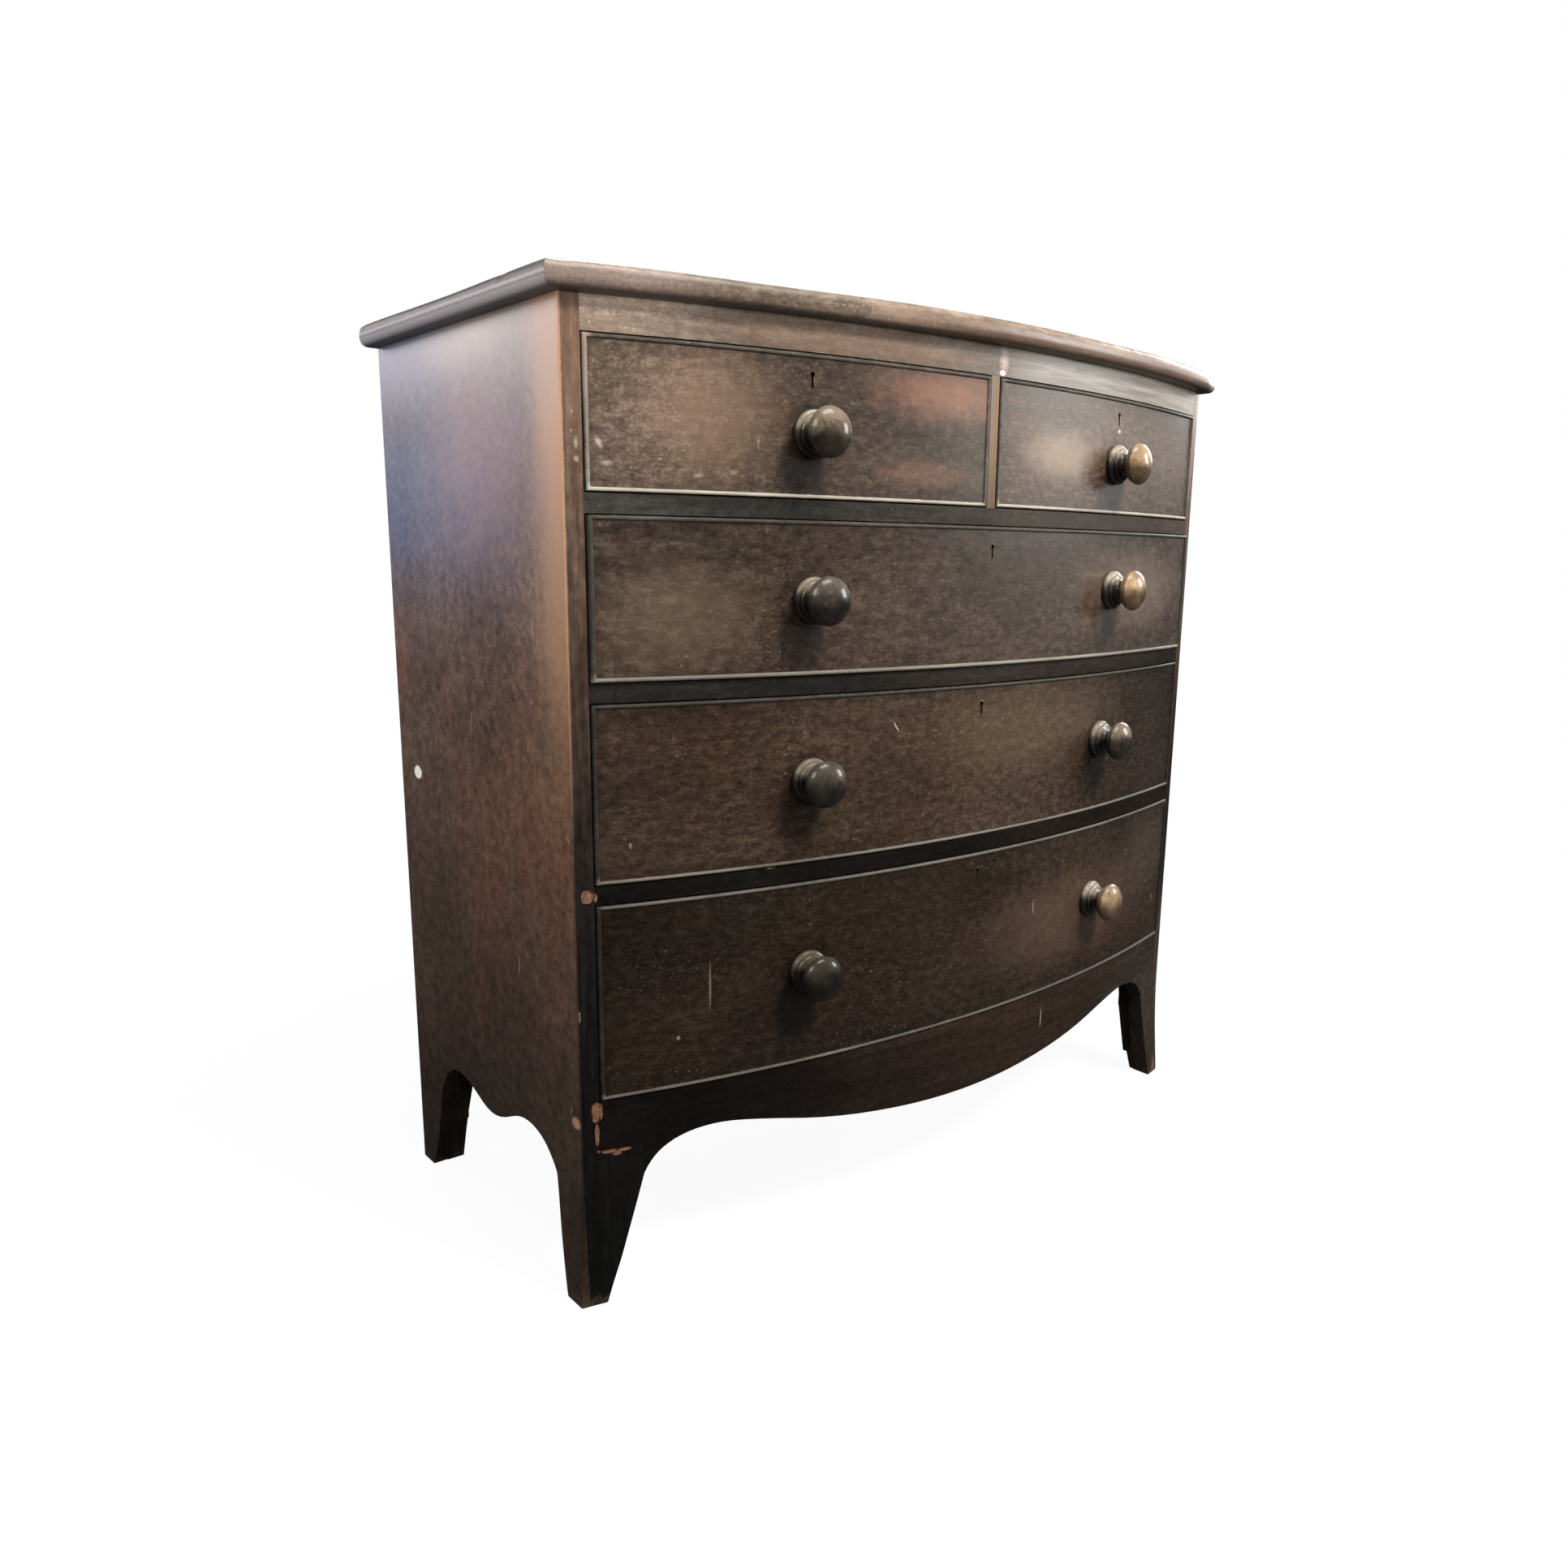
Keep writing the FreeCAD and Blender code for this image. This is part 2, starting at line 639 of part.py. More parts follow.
# ---------------------------------------------------------------- apron
body = new_body("apron")
bow_strip(body, -INNER, INNER, R, R - S("apron_thick"), 138.0, Z4 - 138.0)
sk = sketch(body, "XZ_Plane", 200.0, "Cut")
right = [(-x, z) for x, z in reversed(APRON_CURVE[:-1])]
outline(sk, [(-500.0, 100.0), (500.0, 100.0), (500.0, S("foot_joint")), (445.0, S("foot_joint")),
             (445.0, 142.0), (-445.0, 142.0), (-445.0, S("foot_joint")), (-500.0, S("foot_joint"))],
        curves={4: list(reversed(APRON_CURVE + right))})
pocket(body, sk, 500.0)
settle(body)

# ---------------------------------------------------------------- front feet
# an L-shaped foot whose outer faces curve outward towards the floor, then the
# two curved inner edges are cut
FLARE = [(0.0, 9.0, 5.0), (30.0, 6.8, 3.9), (62.0, 4.2, 2.5), (98.0, 1.9, 1.2), (140.0, 0.35, 0.25), (178.0, 0.0, 0.0)]
body = new_body("front_foot_left")
sections = []
for k, (z, out, fwd) in enumerate(FLARE):
    sk = sketch(body, "XY_Plane", z if k < len(FLARE) - 1 else S("foot_joint"), "Level%d" % k)
    xs = (-num(HALF) - out, -num(HALF) + 32.0, -436.0)
    x1, x2, x3 = xs
    outline(sk, [(x1, -fwd), (x2, bow_y(x2) - fwd), (x3, bow_y(x3) - fwd), (x3, bow_y(x3) + 24.0),
                 (-INNER, 18.0), (-INNER, 70.0), (x1, 70.0)])
    sections.append(sk)
f = body.newObject("PartDesign::AdditiveLoft", "front_foot_left_Loft")
f.Profile = sections[0]
f.Sections = sections[1:]
f.Ruled = False
body.Tip = f
sk = sketch(body, "XZ_Plane", 200.0, "FrontEdge")
outline(sk, [(-490.0, 0.0), (-445.0, 142.0), (-445.0, 190.0), (-380.0, 190.0), (-380.0, -10.0), (-490.0, -10.0)],
        curves={0: FRONT_FOOT_IN})
pocket(body, sk, 500.0)
sk = sketch(body, "YZ_Plane", -300.0, "SideEdge")
outline(sk, [(25.0, 0.0), (S("foot_side_len"), 130.0), (S("foot_side_len"), 190.0), (140.0, 190.0),
             (140.0, -10.0), (25.0, -10.0)], curves={0: SIDE_FOOT_IN})
pocket(body, sk, 400.0)
settle(body)
mirrored("front_foot_right", body, node=True)

# ---------------------------------------------------------------- back feet
body = new_body("back_foot_bracket_left", node=False)
sk = sketch(body, "XZ_Plane", -S("bracket_y"))
outline(sk, [(-INNER, 0.0), (-467.5, 0.0), (-395.0, Z4 - S("dust_thick")), (-INNER, Z4 - S("dust_thick"))],
        curves={1: [(-464.5, 20.0), (-459.5, 50.0), (-453.0, 82.0), (-443.5, 120.0), (-431.0, 160.0), (-416.0, 195.0)]})
pad(body, sk, S("back_front_y") - S("bracket_y"), reverse=True)
settle(body)
group("back_foot_brackets", [body, mirrored("back_foot_bracket_right", body)])

# ---------------------------------------------------------------- glue blocks
members = []
zb = Z4 - S("dust_thick")
for k, x in enumerate((-400.0, -210.0, 0.0, 210.0, 400.0)):
    y = bow_y(abs(x) + 28.0, R - S("apron_thick")) + 0.3
    members.append(box("block_front_%d" % k, x - 28.0, x + 28.0, y, y + 22.0, zb - 24.0, zb))
for k, y in enumerate((110.0, 215.0, 320.0)):
    members.append(box("block_left_%d" % k, -INNER, -INNER + 24.0, y, y + 55.0, zb - 24.0, zb))
    members.append(box("block_right_%d" % k, INNER - 24.0, INNER, y, y + 55.0, zb - 24.0, zb))
# upright blocks in the corners of the feet, kept behind their outlines
body = new_body("foot_block_front_left", node=False)
sk = sketch(body, "XY_Plane", 30.0)
outline(sk, [(-INNER, 19.7), (-462.0, 11.9), (-462.0, 34.0), (-INNER, 34.0)])
pad(body, sk, zb - 30.0)
sk = sketch(body, "XZ_Plane", 100.0, "Slope")
outline(sk, [(-485.5, 20.0), (-463.0, 112.0), (-440.0, 112.0), (-440.0, 20.0)])
pocket(body, sk, 300.0)
settle(body)
members.append(body)
members.append(mirrored("foot_block_front_right", body))
body = new_body("foot_block_back_left", node=False)
sk = sketch(body, "XY_Plane", 62.0)
outline(sk, [(-INNER, 386.0), (-466.0, 386.0), (-466.0, S("bracket_y")), (-INNER, S("bracket_y"))])
pad(body, sk, zb - 62.0)
settle(body)
members.append(body)
members.append(mirrored("foot_block_back_right", body))
group("glue_blocks", members)

# ---------------------------------------------------------------- back boards
members = []
edge = INNER + S("back_rebate")
width = (edge * 2 - 3.0) / 4
for k in range(4):
    x0 = -edge + (width + 1.0) * float(k)
    x1 = x0 + width
    body = new_body("back_board_%d" % (k + 1), node=False)
    flat_board(body, x0, x1, S("back_front_y"), S("back_front_y") + S("back_thick"),
               S("back_low"), S("case_top") - S("back_low"))
    sk = sketch(body, "XZ_Plane", -S("back_front_y"), "NailHoles")
    for x in NAIL_X:
        if num(x0) < x < num(x1):
            for z in NAIL_Z:
                circle(sk, x, z, S("nail_radius"))
    pocket(body, sk, S("back_thick"))
    settle(body)
    members.append(body)
group("back_boards", members)

members = []
for j, z in enumerate(NAIL_Z):
    for k, x in enumerate(NAIL_X):
        nail = new_body("nail_%d_%d" % (j, k), node=False)
        sk = sketch(nail, "XZ_Plane", -(S("back_front_y") + S("back_thick")), "Shank")
        circle(sk, x, z, S("nail_radius"))
        pad(nail, sk, S("back_thick") + NAIL_DEEP - 0.5)
        sk = sketch(nail, "XZ_Plane", -(S("back_front_y") + S("back_thick")), "Head")
        circle(sk, x, z, 3.0)
        pad(nail, sk, 0.9, reverse=True)
        settle(nail)
        members.append(nail)
group("back_board_nails", members)

# ---------------------------------------------------------------- drawers
KNOB = [(0.0, 22.6), (1.6, 24.0), (4.2, 24.6), (6.9, 23.6), (8.4, 21.4)]
KNOB_RING = [(8.6, 19.6), (10.2, 20.4), (12.0, 19.0), (13.0, 16.2)]
KNOB_NECK = [(14.2, 13.2), (16.6, 12.0), (19.2, 13.4), (22.0, 17.2), (25.6, 21.6), (29.6, 24.4), (33.4, 25.6)]
KNOB_FACE = [(34.6, 25.2), (37.6, 23.4), (41.0, 19.4), (43.8, 13.6), (45.6, 7.0), (46.2, 0.0)]


def make_knob(name, x, z, ajar):
    """Turned knob on a tenon, its axis square to the bowed face."""
    body = new_body(name, node=False)
    sk = sketch(body, "XY_Plane", 0)
    # drawn with the axis along -Y: x is the radius, y the way outward, negated
    t = num(S("front_thick")) - 0.5

    def p(uv):
        return (uv[1], -uv[0])
    v = [(0.0, t), (S("tenon_radius"), t), (S("tenon_radius"), 0.0), p(KNOB[0]), p(KNOB[-1]), p(KNOB_RING[0]),
         p(KNOB_RING[-1]), p(KNOB_NECK[-1]), p(KNOB_FACE[0]), p(KNOB_FACE[-1])]
    outline(sk, v, curves={3: [p(q) for q in KNOB[1:-1]], 5: [p(q) for q in KNOB_RING[1:-1]],
                           6: [p(q) for q in KNOB_NECK[:-1]], 8: [p(q) for q in KNOB_FACE[1:-1]]})
    f = body.newObject("PartDesign::Revolution", name + "_Revolution")
    f.Profile = sk
    f.ReferenceAxis = (sk, ["V_Axis"])
    f.Angle = 360.0
    body.Tip = f
    pl, a = radial_placement(x, z)
    pl.Base.y += num(S("frame_shift_y")) - num(ajar)
    body.Placement = pl
    body.setExpression("Placement.Base.z", Q.of(z).ex)
    body.setExpression("Placement.Base.y", (bow_y_ex(x) + S("frame_shift_y") - ajar).ex)
    return body


def keyhole(sk, z):
    """Round eye over a narrow slot, centred on x = 0 of the sketch."""
    r, half, low = 2.9, 1.5, -7.8
    eye = z + 4.9
    drop = math.sqrt(r * r - half * half)
    v = [(-half, z + low + 1.0), (half, z + low + 1.0), (half, eye - drop), (-half, eye - drop)]
    pts = [Vector(a, b, 0) for a, b in v]
    g0 = sk.addGeometry(Part.LineSegment(pts[3], pts[0]), False)
    g1 = sk.addGeometry(Part.ArcOfCircle(Part.Circle(Vector(0, z + low + 1.0, 0), Vector(0, 0, 1), half),
                                         math.pi, 2 * math.pi), False)
    g2 = sk.addGeometry(Part.LineSegment(pts[1], pts[2]), False)
    a0 = math.atan2(-drop, half)
    g3 = sk.addGeometry(Part.ArcOfCircle(Part.Circle(Vector(0, eye, 0), Vector(0, 0, 1), r),
                                         a0, math.pi - a0), False)
    sk.addConstraint(Sketcher.Constraint("Coincident", g0, 2, g1, 1))
    sk.addConstraint(Sketcher.Constraint("Coincident", g1, 2, g2, 1))
    sk.addConstraint(Sketcher.Constraint("Coincident", g2, 2, g3, 1))
    sk.addConstraint(Sketcher.Constraint("Coincident", g3, 2, g0, 1))
    for g in (g0, g1, g2, g3):
        sk.addConstraint(Sketcher.Constraint("Block", g))


def shift_out(body, ajar):
    """Settles a drawer piece, with the drawer standing out by "ajar"."""
    y = S("frame_shift_y") - ajar
    body.Placement = Placement(Vector(0, y.val, 0), Rotation())
    body.setExpression("Placement.Base.y", y.ex)


SCREWS = ((-31.5, -9.0), (31.5, -9.0), (-31.5, -39.0), (31.5, -39.0))


def make_drawer(prefix, left, right, low, top, knobs, lock_x, key, ajar):
    x0, x1 = left + S("side_gap"), right - S("side_gap")
    z0, z1 = low + S("edge_gap"), top - S("edge_gap")
    bt = S("bead_thick")
    r_mid, r_in, r_bead = R - S("bead_deep"), R - S("front_thick"), R + S("bead_proud")
    g0 = low + S("groove_up")
    # front: a smaller face layer leaves the rebate for the cockbeads
    front = new_body(prefix + "_front")
    bow_strip(front, x0, x1, r_mid, r_in, z0, z1 - z0, "Core")
    bow_strip(front, x0 + bt, x1 - bt, R, r_mid, z0 + bt, z1 - z0 - bt * 2, "Face")
    # groove for the bottom, between the sides
    xa, xb = x0 + S("lining_in"), x1 - S("lining_in")
    lt, gd = S("lining_thick"), S("groove_deep")
    sk = sketch(front, "XY_Plane", g0 + S("bottom_thick"), "Groove")
    outline(sk, [(xa + lt - gd, None), (xb - lt + gd, None), (xb - lt + gd, None), (xa + lt - gd, None)],
            arcs={0: (r_in + 6.0, YC), 2: (r_in - 5.0, YC)})
    pocket(front, sk, S("bottom_thick"))
    for k, (x, z) in enumerate(knobs):
        sk = radial_sketch(front, x, z, -5.0, "KnobHole%d" % k)
        circle(sk, 0.0, 0.0, S("tenon_radius"))
        pocket(front, sk, 45.0)
    # lock: plate and case let into the back, keyhole through the face
    sk = radial_sketch(front, lock_x, z1, 40.0, "PlateRecess")
    outline(sk, [(-S("plate_half"), -S("plate_depth")), (S("plate_half"), -S("plate_depth")),
                 (S("plate_half"), 10.0), (-S("plate_half"), 10.0)])
    pocket(front, sk, 20.0, reverse=True)
    sk = radial_sketch(front, lock_x, z1, 40.0, "CaseRecess")
    outline(sk, [(-S("lock_half"), -S("lock_depth")), (S("lock_half"), -S("lock_depth")),
                 (S("lock_half"), -2.0), (-S("lock_half"), -2.0)])
    pocket(front, sk, 27.6, reverse=True)
    sk = radial_sketch(front, lock_x, z1, 40.0, "SelvedgeRecess")
    outline(sk, [(-S("plate_half"), -2.0), (S("plate_half"), -2.0), (S("plate_half"), 10.0), (-S("plate_half"), 10.0)])
    pocket(front, sk, 27.6, reverse=True)
    sk = radial_sketch(front, lock_x, z1, -5.0, "Keyhole")
    keyhole(sk, -num(key))
    pocket(front, sk, 60.0)
    sk = radial_sketch(front, lock_x, z1, 30.0, "ScrewHoles")
    for sx, sz in SCREWS:
        circle(sk, sx, sz, S("screw_radius"))
    pocket(front, sk, 30.0 - 8.5, reverse=True)
    shift_out(front, ajar)

    # sides with a groove for the bottom
    sides = []
    back_y, top_z = S("lining_back"), top - S("lining_top_gap")
    for nm, a, b, inner_a, inner_b in (("left", xa, xa + lt, xa + lt - gd, xa + lt + 1.0),
                                       ("right", xb - lt, xb, xb - lt - 1.0, xb - lt + gd)):
        side = new_body("%s_side_%s" % (prefix, nm), node=False)
        sk = sketch(side, "XY_Plane", low + S("lining_low"))
        outline(sk, [(a, None), (b, None), (b, back_y), (a, back_y)], arcs={0: (r_in, YC)})
        pad(side, sk, top_z - low - S("lining_low"))
        sk = sketch(side, "XY_Plane", g0 + S("bottom_thick"), "Groove")
        outline(sk, [(inner_a, -80.0), (inner_b, -80.0), (inner_b, back_y + 5.0), (inner_a, back_y + 5.0)])
        pocket(side, sk, S("bottom_thick"))
        shift_out(side, ajar)
        sides.append(side)
    group(prefix + "_sides", sides)

    # back, standing on the bottom between the sides
    back = new_body(prefix + "_back")
    zb_ = g0 + S("bottom_thick")
    flat_board(back, xa + lt, xb - lt, S("back_lining_y"), S("back_lining_y") + S("back_lining"),
               zb_, top_z - zb_ - 8.0)
    shift_out(back, ajar)

    bottom = new_body(prefix + "_bottom")
    sk = sketch(bottom, "XY_Plane", g0)
    outline(sk, [(xa + lt - gd, None), (xb - lt + gd, None), (xb - lt + gd, back_y - 1.0), (xa + lt - gd, back_y - 1.0)],
            arcs={0: (r_in + 6.0, YC)})
    pad(bottom, sk, S("bottom_thick"))
    shift_out(bottom, ajar)

    # cockbeads: top and bottom run through, the sides stand between them
    beads = []
    rb = num(r_bead)

    def front_edge(edge):
        for pt in edge.Vertexes:
            if abs(math.hypot(pt.X, pt.Y - num(YC)) - rb) > 0.05:
                return False
        return True

    def along(edge):
        a, b = edge.Vertexes[0].Point, edge.Vertexes[-1].Point
        return front_edge(edge) and abs(a.z - b.z) < 0.01

    def upright(edge):
        a, b = edge.Vertexes[0].Point, edge.Vertexes[-1].Point
        return front_edge(edge) and abs(a.z - b.z) > 1.0

    for nm, a, b, zz, hh, test in (("top", x0, x1, z1 - bt, bt, along), ("bottom", x0, x1, z0, bt, along),
                                   ("left", x0, x0 + bt, z0 + bt, z1 - z0 - bt * 2, upright),
                                   ("right", x1 - bt, x1, z0 + bt, z1 - z0 - bt * 2, upright)):
        bead = new_body("%s_bead_%s" % (prefix, nm), node=False)
        bow_strip(bead, a, b, r_bead, r_mid, zz, hh)
        fillet(bead, S("bead_round"), test)
        shift_out(bead, ajar)
        beads.append(bead)
    group(prefix + "_cockbeads", beads)

    turned = [make_knob("%s_knob_%d" % (prefix, k + 1), x, z, ajar) for k, (x, z) in enumerate(knobs)]
    group(prefix + ("_knobs" if len(turned) > 1 else "_knob"), turned)

    # lock, drawn at its own frame: local Y is the way into the drawer
    lock = new_body(prefix + "_lock_case", node=False)
    sk = sketch(lock, "XZ_Plane", -20.0, "Plate")
    outline(sk, [(-S("plate_half"), -S("plate_depth")), (S("plate_half"), -S("plate_depth")),
                 (S("plate_half"), 0.0), (-S("plate_half"), 0.0)])
    pad(lock, sk, 2.0, reverse=True)
    sk = sketch(lock, "XZ_Plane", -20.0, "Case")
    outline(sk, [(-S("lock_half"), -S("lock_depth")), (S("lock_half"), -S("lock_depth")),
                 (S("lock_half"), -2.0), (-S("lock_half"), -2.0)])
    pad(lock, sk, 7.6)
    sk = sketch(lock, "XZ_Plane", -20.0, "Selvedge")
    outline(sk, [(-S("plate_half"), -2.0), (S("plate_half"), -2.0), (S("plate_half"), 0.0), (-S("plate_half"), 0.0)])
    pad(lock, sk, 7.6)
    half = S("bolt_half") + 0.4
    sk = sketch(lock, "XY_Plane", 1.0, "BoltWay")
    outline(sk, [(-half, 13.6), (half, 13.6), (half, 19.4), (-half, 19.4)])
    pocket(lock, sk, 37.0)
    sk = sketch(lock, "XZ_Plane", 0.0, "Keyhole")
    keyhole(sk, -num(key))
    pocket(lock, sk, 14.0)
    sk = sketch(lock, "XZ_Plane", -30.0, "ScrewHoles")
    for sx, sz in SCREWS:
        circle(sk, sx, sz, S("screw_radius"))
    pocket(lock, sk, 20.0, reverse=True)
    sk = sketch(lock, "XZ_Plane", -30.0, "ScrewHeads")
    for sx, sz in SCREWS:
        circle(sk, sx, sz, 3.0)
    pocket(lock, sk, 9.2, reverse=True)
    pl, a = radial_placement(lock_x, z1)
    pl.Base.y += num(S("frame_shift_y")) - num(ajar)
    at_y = bow_y_ex(lock_x) + S("frame_shift_y") - ajar

    def at_lock(piece):
        piece.Placement = Placement(pl.Base, pl.Rotation)
        piece.setExpression("Placement.Base.z", z1.ex)
        piece.setExpression("Placement.Base.y", at_y.ex)

    at_lock(lock)
    screws = []
    for k, (sx, sz) in enumerate(SCREWS):
        screw = new_body("%s_lock_screw_%d" % (prefix, k + 1), node=False)
        sk = sketch(screw, "XZ_Plane", -22.0, "Head")
        circle(sk, sx, sz, 3.0)
        pad(screw, sk, 1.2)
        sk = sketch(screw, "XZ_Plane", -20.8, "Shank")
        circle(sk, sx, sz, S("screw_radius"))
        pad(screw, sk, 12.0)
        at_lock(screw)
        screws.append(screw)
    group(prefix + "_lock", [lock] + screws)

    bolt = new_body(prefix + "_lock_bolt")
    sk = sketch(bolt, "XY_Plane", -24.0)
    outline(sk, [(-S("bolt_half"), 14.0), (S("bolt_half"), 14.0), (S("bolt_half"), 19.0), (-S("bolt_half"), 19.0)])
    pad(bolt, sk, 23.7)
    at_lock(bolt)


ZERO = Q(0.0, "0")
SHORT, LONG = S("key_down_short"), S("key_down")
make_drawer("left_drawer", -INNER, -MUNT, Z1, Z1T, ((-252.5, 917.5),), LOCKS["left"], SHORT, ZERO)
make_drawer("right_drawer", MUNT, INNER, Z1, Z1T, ((251.0, 914.5),), LOCKS["right"], SHORT, ZERO)
make_drawer("upper_drawer", -INNER, INNER, Z2, Z2T, ((-253.0, 750.5), (252.5, 757.5)), LOCKS["upper"], LONG,
            S("upper_ajar"))
make_drawer("middle_drawer", -INNER, INNER, Z3, Z3T, ((-251.0, 558.5), (247.0, 562.5)), LOCKS["middle"], LONG, ZERO)
make_drawer("lower_drawer", -INNER, INNER, Z4, Z4T, ((-252.0, 342.0), (248.0, 342.0)), LOCKS["lower"], LONG, ZERO)

# ---------------------------------------------------------------- check and write
doc.recompute()
for obj in doc.Objects:
    state = [str(s) for s in obj.State]
    if "Invalid" in state or "Error" in state:
        FAULTS.append("%s is %s" % (obj.Label, state))
box_all = FreeCAD.BoundBox()
for node in NODES:
    shape = node.Shape
    if shape.isNull() or not shape.isValid():
        FAULTS.append(node.Label + " has no valid shape")
    elif not shape.Solids:
        FAULTS.append(node.Label + " has no solid")
    else:
        box_all.add(shape.BoundBox)
print("nodes", len(NODES))
print("box", box_all)
if FAULTS:
    for line in FAULTS:
        print("FAULT", line)
    raise RuntimeError("%d faults" % len(FAULTS))
os.makedirs("parts", exist_ok=True)
names = set()
for node in NODES:
    if node.Label in names:
        raise RuntimeError("two parts named " + node.Label)
    names.add(node.Label)
    node.Shape.exportStep("parts/%s.step" % node.Label)
print("written", len(names))
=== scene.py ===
import bpy, bmesh, json, math
from mathutils import Vector, Matrix, noise

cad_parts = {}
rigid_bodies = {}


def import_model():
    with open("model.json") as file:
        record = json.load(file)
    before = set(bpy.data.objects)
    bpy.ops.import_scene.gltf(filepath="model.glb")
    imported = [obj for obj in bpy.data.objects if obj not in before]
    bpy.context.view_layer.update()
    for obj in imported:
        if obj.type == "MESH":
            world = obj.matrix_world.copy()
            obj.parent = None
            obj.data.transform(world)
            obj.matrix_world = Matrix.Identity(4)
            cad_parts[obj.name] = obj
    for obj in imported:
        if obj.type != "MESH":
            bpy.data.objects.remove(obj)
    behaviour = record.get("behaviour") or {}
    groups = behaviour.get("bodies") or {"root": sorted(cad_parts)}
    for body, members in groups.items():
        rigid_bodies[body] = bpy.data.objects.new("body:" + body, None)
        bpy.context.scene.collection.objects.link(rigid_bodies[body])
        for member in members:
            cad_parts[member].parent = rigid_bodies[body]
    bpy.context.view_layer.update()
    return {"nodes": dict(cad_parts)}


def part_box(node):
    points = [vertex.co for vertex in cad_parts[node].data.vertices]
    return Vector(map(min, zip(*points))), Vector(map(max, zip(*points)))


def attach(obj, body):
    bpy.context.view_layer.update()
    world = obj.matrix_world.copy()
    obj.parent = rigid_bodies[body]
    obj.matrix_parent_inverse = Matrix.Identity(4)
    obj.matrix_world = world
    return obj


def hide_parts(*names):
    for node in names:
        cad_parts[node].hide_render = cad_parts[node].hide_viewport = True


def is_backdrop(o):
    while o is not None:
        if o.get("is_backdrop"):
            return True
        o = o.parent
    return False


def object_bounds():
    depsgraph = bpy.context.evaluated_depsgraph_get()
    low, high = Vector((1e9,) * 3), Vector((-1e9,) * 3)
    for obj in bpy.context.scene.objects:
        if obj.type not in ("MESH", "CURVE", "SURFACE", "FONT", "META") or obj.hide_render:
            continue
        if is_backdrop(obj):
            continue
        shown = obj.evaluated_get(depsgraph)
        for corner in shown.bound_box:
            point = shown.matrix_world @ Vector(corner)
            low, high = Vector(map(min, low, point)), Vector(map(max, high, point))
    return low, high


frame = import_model()
NODE = frame["nodes"]
scene = bpy.context.scene

# sizes shared with the CAD, in metres
R = 1.7715            # radius of the bowed front
YC = 1.53204          # Y of the centre line of the bow
LINE = -0.16446       # Y of the line through the two front corners
BACK = 0.27054        # Y of the back of the sides
HALF = 0.510          # half the width of the case
DRAWERS = ("left", "right", "upper", "middle", "lower")
AJAR = {"upper": 0.003}
KNOBS = {
    "left": [(-0.2525, 0.9175)],
    "right": [(0.251, 0.9145)],
    "upper": [(-0.253, 0.7505), (0.2525, 0.7575)],
    "middle": [(-0.251, 0.5585), (0.247, 0.5625)],
    "lower": [(-0.252, 0.342), (0.248, 0.342)],
}
KEYS = {"left": (-0.2535, 0.9708), "right": (0.254, 0.9708), "upper": (0.003, 0.8043),
        "middle": (-0.002, 0.6228), "lower": (0.003, 0.4178)}


def bow(x, t=0.0):
    """Y of the bowed face at x, at a distance t in front of it."""
    return YC - math.sqrt((R + t) ** 2 - x * x)


def body_of(node):
    for d in DRAWERS:
        if node == d + "_drawer_lock_bolt":
            return d + "_drawer_bolt"
        if node.startswith(d + "_drawer"):
            return d + "_drawer"
    return "carcass"


